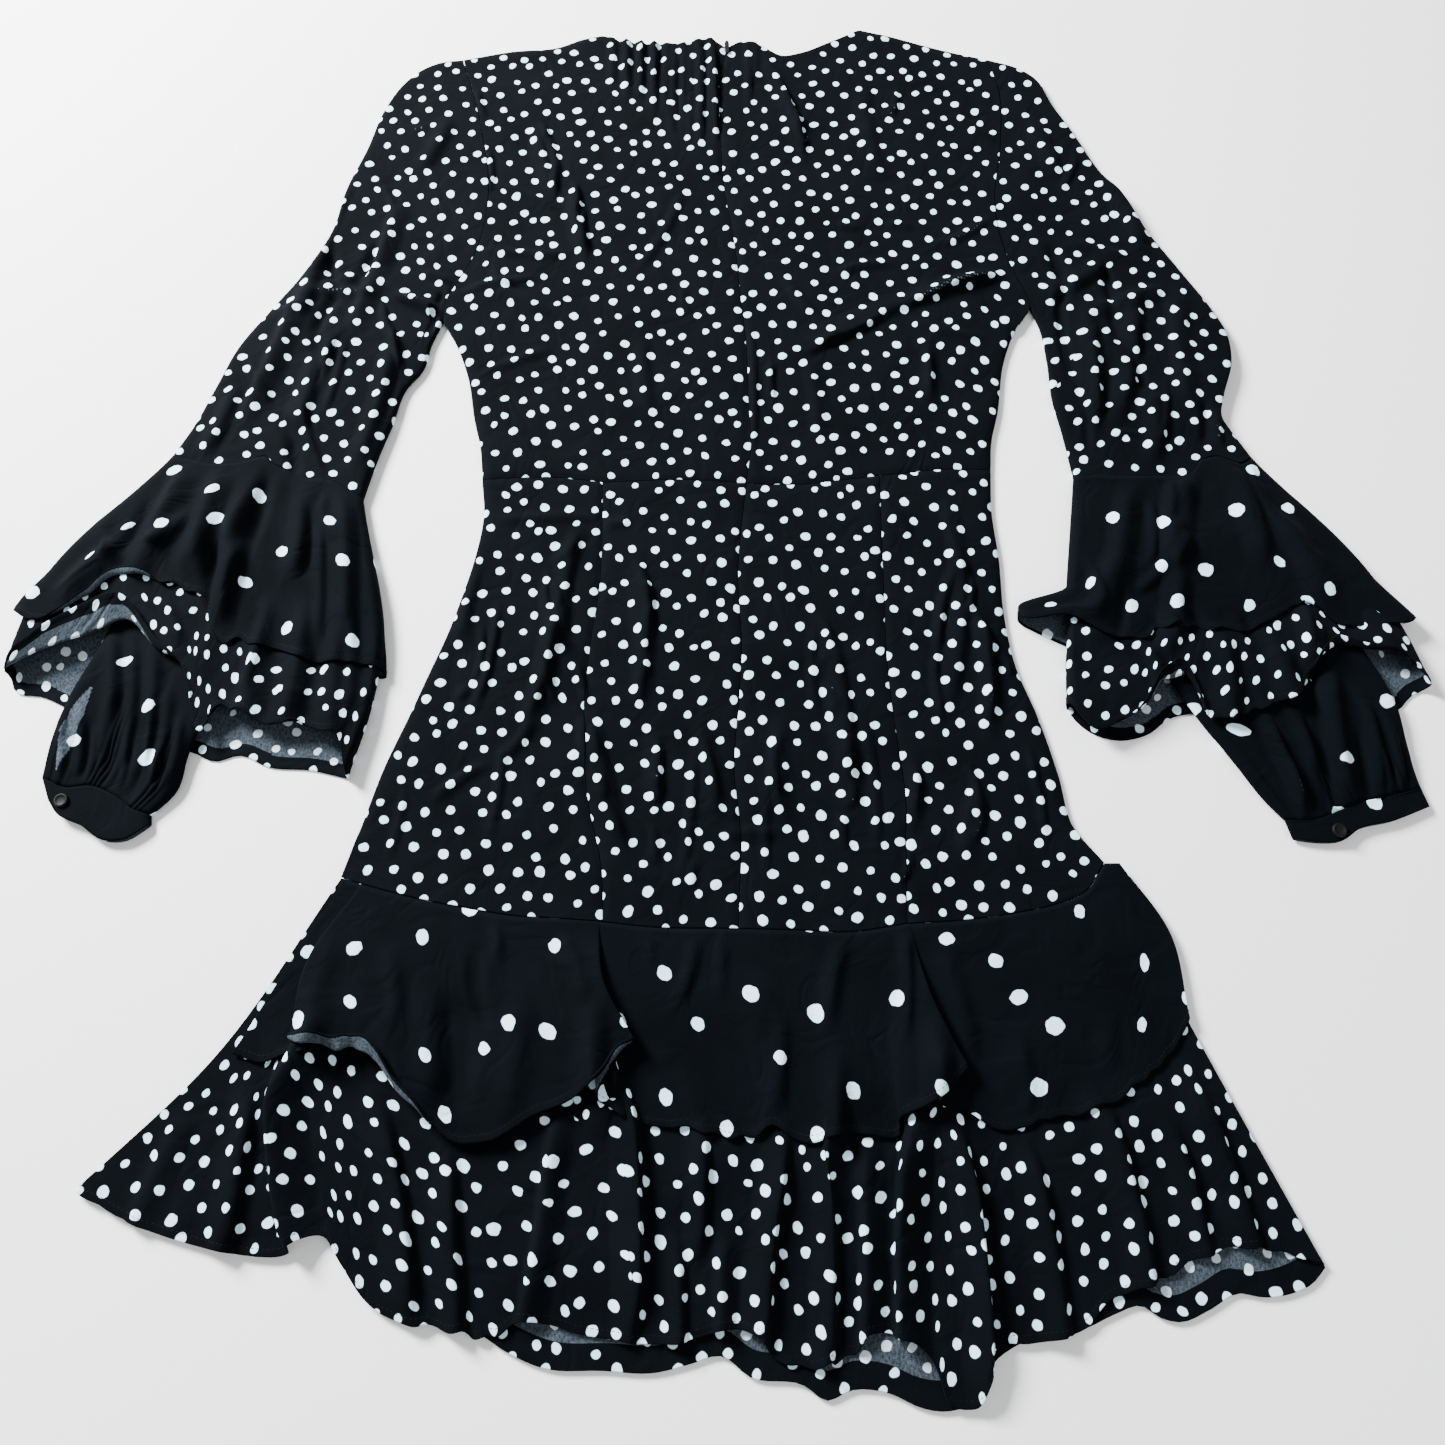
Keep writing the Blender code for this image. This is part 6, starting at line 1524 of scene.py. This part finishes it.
def make_sleeve(side, ribs, armhole, left, right, folds, offset):
    """A sleeve tube from the armhole to the elbow seam."""
    outward = math.copysign(ARMHOLE_GAP, armhole[0][0])
    armhole = [(x + outward, y) for x, y in armhole]
    left, right = armhole[:1] + left[1:], armhole[-1:] + right[1:]
    plan = patch_reader(armhole, seam_of(ribs), left, right)
    beneath = patch_reader(armhole, (ribs[0][:2], ribs[-1][:2]), left, right)
    tube = tube_surface(plan, beneath,
                        lambda u, v: ARMHOLE_CROWN + (ELBOW_CROWN - ARMHOLE_CROWN) * ease(v),
                        folds=folds, gain=SLEEVE_GAIN, creases=SLEEVE_CREASES)
    rows = stations(SLEEVE_LENGTH, SLEEVE_SPACING, SLEEVE_START, 1.0)
    add_tube("sleeve_" + side, tube, rows, SLEEVE_COLUMNS, DOTTED, offset, by_plan=True)


def make_ruffles(side, ribs, hems_beneath, folds, turns, flares, offset):
    """Two ruffles from the elbow seam, the lower one inside the upper one."""
    values = rib_reader(ribs, by_seam=True)
    over_seam, under_seam = edge(seam_of(ribs)), edge((ribs[0][:2], ribs[-1][:2]))
    upper_edge, lower_edge = [edge(hem) for hem in hems_beneath]
    seam_shares = summed(step_sizes(np.asarray(ribs)[:, :2]))
    seam_shares = seam_shares / seam_shares[-1]

    def over(u, v):
        row = values(u)
        return three_stations(read(over_seam, u), row[..., 2:4], row[..., 4:6], v)

    def under(u, v):
        return three_stations(read(under_seam, u), read(upper_edge, u), read(lower_edge, u), v)

    def crown(u, v):
        return ELBOW_CROWN + (RUFFLE_CROWN - ELBOW_CROWN) * ease(v / RUFFLE_RISE)

    def deepest(plan):
        past = ease((VALLEYS_FROM - plan[..., 1]) / VALLEYS_FADE)
        return DEEPEST_RUFFLE - (DEEPEST_RUFFLE - DEEPEST_HEM) * past

    def inwards(v):
        return PITCH * (1 - ease((v - LET_OUT_FROM) / LET_OUT_FADE))

    tiers = (("ruffle_upper_", UPPER_RUFFLE_ROWS, -1.0, SPOTTED, offset, None, NARROW_FACING),
             ("ruffle_lower_", LOWER_RUFFLE_ROWS, LOWER_RUFFLE_SHOWN, DOTTED, offset[::-1],
              inwards, RUFFLE_FACING))
    for tier, (name, rows, shown_from, finish, move, inward, facing) in enumerate(tiers):
        tube = tube_surface(
            over, under, crown, folds=folds, tip_radius=RUFFLE_TIP_RADIUS, gain=RUFFLE_GAIN,
            turned_of=lambda u, turn=turns[tier]: np.interp(u, seam_shares, turn),
            last=tier + 1, flares=flares[tier], creases=RUFFLE_CREASES, wavy=True,
            shown_from=shown_from, deepest=deepest)
        add_tube(name + side, tube, shares(*rows), RUFFLE_COLUMNS, finish, move, inward,
                 hem=True, facing=facing)


def make_balloon(side, top, end, left, right, settle_from, offset):
    """The gathered inner sleeve from the elbow seam to the cuff."""
    plan = patch_reader(top, end, left, right)

    def grow(v, start, span):
        return ease((v - start) / span)

    def floor(v):
        down = grow(v, settle_from, SETTLE_SPAN)
        return BALLOON_FLOOR - (BALLOON_FLOOR - FLOOR_LAYER) * down

    def crown(u, v):
        """It swells below the elbow, and draws in to uneven gathers at the cuff."""
        rise = grow(v, *SWELLS) * (1 - grow(v, *DRAWS_IN))
        base = ARMHOLE_CROWN + (BALLOON_CROWN - ARMHOLE_CROWN) * rise
        turn = 2 * np.pi * CUFF_GATHERS * (u + 0.035 * np.sin(13 * u) + 0.02 * np.sin(29 * u))
        gather = grow(v, *GATHERED) * (1 - grow(v, *GATHERS_END))
        return base + gather * (0.5 + 0.5 * np.sin(17 * u)) * (0.6 - 0.6 * np.cos(turn))

    def slit(w, v):
        half = SLIT_HALF_WIDTH * np.sin(np.pi * np.clip((v - SLIT_FROM) / SLIT_LENGTH, 0, 1))
        return (np.abs(w - (SLIT_ACROSS - SLIT_LEAN * v)) < half) & (side == "left")

    tube = tube_surface(plan, plan, crown, floor, creases=BALLOON_CREASES,
                        shown_from=BALLOON_SHOWN)
    add_tube("balloon_" + side, tube, shares(BALLOON_ROWS), BALLOON_COLUMNS, SPOTTED, offset,
             bare_at=slit)


def make_cuff(side, top, end, offset):
    """A narrow band at the wrist."""
    plan = patch_reader(top, end, [top[0], end[0]], [top[-1], end[-1]])
    tube = tube_surface(plan, plan, lambda u, v: np.full_like(v, ARMHOLE_CROWN))
    add_tube("cuff_" + side, tube, shares(CUFF_ROWS), CUFF_COLUMNS, SPOTTED, offset)


def make_button(side):
    """A domed button with a raised rim, turned about the vertical."""
    x, y = BUTTON_PLACES[side]
    bottom = ARMHOLE_CROWN + WALL / 2 + GAP
    points = [(x, y, bottom), (x, y, bottom + BUTTON_DEPTH * BUTTON_PROFILE[-1][1])]
    for radius, height in BUTTON_PROFILE[1:-1]:
        for k in range(BUTTON_SIDES):
            angle = 2 * math.pi * k / BUTTON_SIDES
            points.append((x + BUTTON_RADIUS * radius * math.cos(angle),
                           y + BUTTON_RADIUS * radius * math.sin(angle),
                           bottom + BUTTON_DEPTH * height))
    rings = len(BUTTON_PROFILE) - 2
    last = 2 + (rings - 1) * BUTTON_SIDES
    faces = []
    for k in range(BUTTON_SIDES):
        after = (k + 1) % BUTTON_SIDES
        faces.append((0, 2 + after, 2 + k))
        faces.append((1, last + k, last + after))
        for a in range(2, last, BUTTON_SIDES):
            faces.append((a + k, a + after, a + BUTTON_SIDES + after, a + BUTTON_SIDES + k))
    add_hard_piece("button_" + side, points, faces, HORN)


def make_zip():
    """The concealed zip's tape under the centre-back seam, and its slider at the neck."""
    centre = edge(CENTRE_BACK, CENTRE_SKIRT)
    path = read(centre, np.linspace(0.0, ZIP_LENGTH_SHARE, TAPE_ROWS))
    ahead = unit(np.gradient(path, axis=0))
    aside = np.column_stack((-ahead[:, 1], ahead[:, 0]))
    across = np.linspace(-TAPE_HALF_WIDTH, TAPE_HALF_WIDTH, TAPE_COLUMNS)
    plan = path[:, None, :] + aside[:, None, :] * across[None, :, None]
    height = SECOND_LAYER + LOFT - PITCH - TAPE_DROP
    grid = at_height(plan, height)
    grid = grid[:, ::-1] if np.cross(aside[0], ahead[0]) < 0 else grid
    add_piece("zip_tape", Cloth(grid, plan_cloth(grid[..., :2], grid)), TAPE, (0, 0))
    x, y = CENTRE_BACK[0]
    points, faces = [], []
    for outline, raised, depth in ((SLIDER_BODY, 0.0, SLIDER_DEPTH),
                                   (SLIDER_TAB[::-1], TAB_RAISED, TAB_DEPTH)):
        start = len(points)
        count = len(outline)
        base = height + WALL / 2 + GAP + raised
        middle_y = sum(py for _, py in outline) / count
        for share, shrink in BEVELLED_LEVELS:
            for px, py in outline:
                points.append((x + px * shrink,
                               y + SLIDER_ABOVE + middle_y + (py - middle_y) * shrink,
                               base + depth * share))
        faces.append(tuple(start + k for k in range(count)))
        faces.append(tuple(start + 3 * count + k for k in range(count - 1, -1, -1)))
        for level in range(len(BEVELLED_LEVELS) - 1):
            for k in range(count):
                a = start + level * count + k
                b = start + level * count + (k + 1) % count
                faces.append((a, a + count, b + count, b))
    add_hard_piece("zip_slider", points, faces, LACQUER, smooth=False)


def stitch_tree():
    """Geometry Nodes that lay a running stitch of small rounded threads along a path."""
    tree = bpy.data.node_groups.new("Running_Stitch", "GeometryNodeTree")
    tree.interface.new_socket("Geometry", in_out="INPUT", socket_type="NodeSocketGeometry")
    for label in STITCH_SIZES:
        tree.interface.new_socket(label, in_out="INPUT", socket_type="NodeSocketFloat")
    tree.interface.new_socket("Geometry", in_out="OUTPUT", socket_type="NodeSocketGeometry")
    given = add(tree, "NodeGroupInput")
    path = add(tree, "GeometryNodeMeshToCurve", {"Mesh": given.outputs["Geometry"]}).outputs[0]
    even = add(tree, "GeometryNodeResampleCurve", {"Curve": path, "Length": given.outputs["Pitch"]},
               mode="LENGTH").outputs[0]
    bead = add(tree, "GeometryNodeMeshIcoSphere", {"Radius": 1.0, "Subdivisions": 1}).outputs[0]
    half = add(tree, "ShaderNodeMath", {0: given.outputs["Stitch length"], 1: 0.5},
               operation="MULTIPLY").outputs[0]
    size = add(tree, "ShaderNodeCombineXYZ", {0: given.outputs["Thread radius"],
                                              1: given.outputs["Thread radius"],
                                              2: half}).outputs[0]
    ahead = add(tree, "GeometryNodeInputTangent").outputs[0]
    turn = add(tree, "FunctionNodeAlignRotationToVector", {"Vector": ahead}, axis="Z").outputs[0]
    laid = add(tree, "GeometryNodeInstanceOnPoints", {"Points": even, "Instance": bead,
                                                      "Rotation": turn, "Scale": size}).outputs[0]
    real = add(tree, "GeometryNodeRealizeInstances", {0: laid}).outputs[0]
    dressed = add(tree, "GeometryNodeSetMaterial", {"Geometry": real,
                                                    "Material": THREAD_BLACK}).outputs[0]
    add(tree, "NodeGroupOutput", {0: dressed})
    return tree


def hem_path(cloth):
    """Points just off the cloth, one stitch line in from its hem."""
    radius = STITCH_SIZES["Thread radius"]
    lifted = cloth.grid + cloth.outward * (cloth.half + STITCH_RAISED * radius)
    lifted[..., 2] = np.maximum(lifted[..., 2], radius + STITCH_CLEAR)
    points = []
    for column in range(cloth.grid.shape[1]):
        reach = cloth.from_hem[:, column][::-1]
        points.append([np.interp(HEM_STITCH, reach, lifted[::-1, column, k]) for k in range(3)])
    return np.array(points)


def add_stitches(name, path, tree):
    """A line of stitches along points in millimetres, as a plain mesh."""
    mesh = bpy.data.meshes.new(name + "_path")
    mesh.from_pydata((path * MM).tolist(), [(k, k + 1) for k in range(len(path) - 1)], [])
    carrier = add_object(name + "_path", mesh)
    modifier = carrier.modifiers.new("Stitches", "NODES")
    modifier.node_group = tree
    for item in tree.interface.items_tree:
        if item.in_out == "INPUT" and item.name in STITCH_SIZES:
            modifier[item.identifier] = STITCH_SIZES[item.name] * MM
    evaluated = carrier.evaluated_get(bpy.context.evaluated_depsgraph_get())
    result = bpy.data.meshes.new_from_object(evaluated)
    bpy.data.objects.remove(carrier, do_unlink=True)
    result.name = name
    piece = add_object(name, result)
    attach(piece, "root")
    return piece


def make_stitches():
    """The stitch line of every hem."""
    tree = stitch_tree()
    made = {}
    for name in HEMS:
        _, cloth, slot = PIECES[name]
        made[name] = add_stitches("stitches_" + name, hem_path(cloth), tree)
    return made


def declare_sheets(stitches):
    """Works out the cut size and area of every sewn piece and keeps neither; the stitches are not
    used.
    """
    for name, (piece, cloth, _) in PIECES.items():
        size, area = cut_size(cloth.grid)


def make_stage():
    """A plain floor of matte white paper, which shows no gloss, soft lights and the camera."""
    mesh = bpy.data.meshes.new("floor")
    corners = [(x * FLOOR_HALF, y * FLOOR_HALF, FLOOR_LEVEL * MM)
               for x, y in ((-1, -1), (1, -1), (1, 1), (-1, 1))]
    mesh.from_pydata(corners, [], [(0, 1, 2, 3)])
    surface, _, shader = new_material("Matte_Paper_Sweep", 0.95, Specular_IOR_Level=0.1)
    shader.inputs["Base Color"].default_value = srgb("#fafbfc")
    mesh.materials.append(surface)
    add_object("floor", mesh)
    for name, place, size, power in LIGHTS:
        light = bpy.data.lights.new(name, "AREA")
        light.shape = "SQUARE"
        light.size = size
        light.energy = power
        lamp = add_object(name, light)
        lamp.location = place
        lamp.rotation_euler = (LIGHT_AIM - Vector(place)).to_track_quat("-Z", "Y").to_euler()
    world = bpy.data.worlds.new("Studio")
    world.use_nodes = True
    background = world.node_tree.nodes["Background"]
    background.inputs["Color"].default_value = srgb("#ffffff")
    background.inputs["Strength"].default_value = STUDIO_GLOW
    bpy.context.scene.world = world
    camera = bpy.data.cameras.new("camera")
    camera.sensor_width = 36.0
    camera.lens = VIEW_LENS
    view = add_object("camera", camera)
    back = Vector((0.0, -math.sin(VIEW_TILT), math.cos(VIEW_TILT)))
    view.location = VIEW_AIM + back * VIEW_DISTANCE
    view.rotation_euler = (VIEW_TILT, 0.0, 0.0)
    bpy.context.scene.camera = view


make_fronts()
make_body()
make_flounces()
make_sleeve("left", RUFFLE_RIBS_LEFT, ARMHOLE_LEFT, SLEEVE_OUTER_LEFT, SLEEVE_INNER_LEFT,
            SLEEVE_FOLDS_LEFT, (7, 31))
make_sleeve("right", RUFFLE_RIBS_RIGHT, ARMHOLE_RIGHT[::-1], SLEEVE_INNER_RIGHT,
            SLEEVE_OUTER_RIGHT, SLEEVE_FOLDS_RIGHT, (19, 2))
make_ruffles("left", RUFFLE_RIBS_LEFT, (UNDER_UPPER_LEFT, UNDER_LOWER_LEFT), RUFFLE_FOLDS_LEFT,
             TURNS_LEFT, FLARES_LEFT, (23, 9))
make_ruffles("right", RUFFLE_RIBS_RIGHT, (UNDER_UPPER_RIGHT, UNDER_LOWER_RIGHT),
             RUFFLE_FOLDS_RIGHT, TURNS_RIGHT, FLARES_RIGHT, (11, 37))
make_balloon("left", BALLOON_TOP_LEFT, CUFF_TOP_LEFT, BALLOON_OUTER_LEFT, BALLOON_INNER_LEFT, 0.8,
             (31, 13))
make_balloon("right", BALLOON_TOP_RIGHT, CUFF_TOP_RIGHT, BALLOON_INNER_RIGHT,
             BALLOON_OUTER_RIGHT, 0.76, (3, 23))
make_cuff("left", CUFF_TOP_LEFT, CUFF_END_LEFT, (21, 17))
make_cuff("right", CUFF_TOP_RIGHT, CUFF_END_RIGHT, (33, 27))
make_button("left")
make_button("right")
make_zip()
declare_sheets(make_stitches())
make_stage()
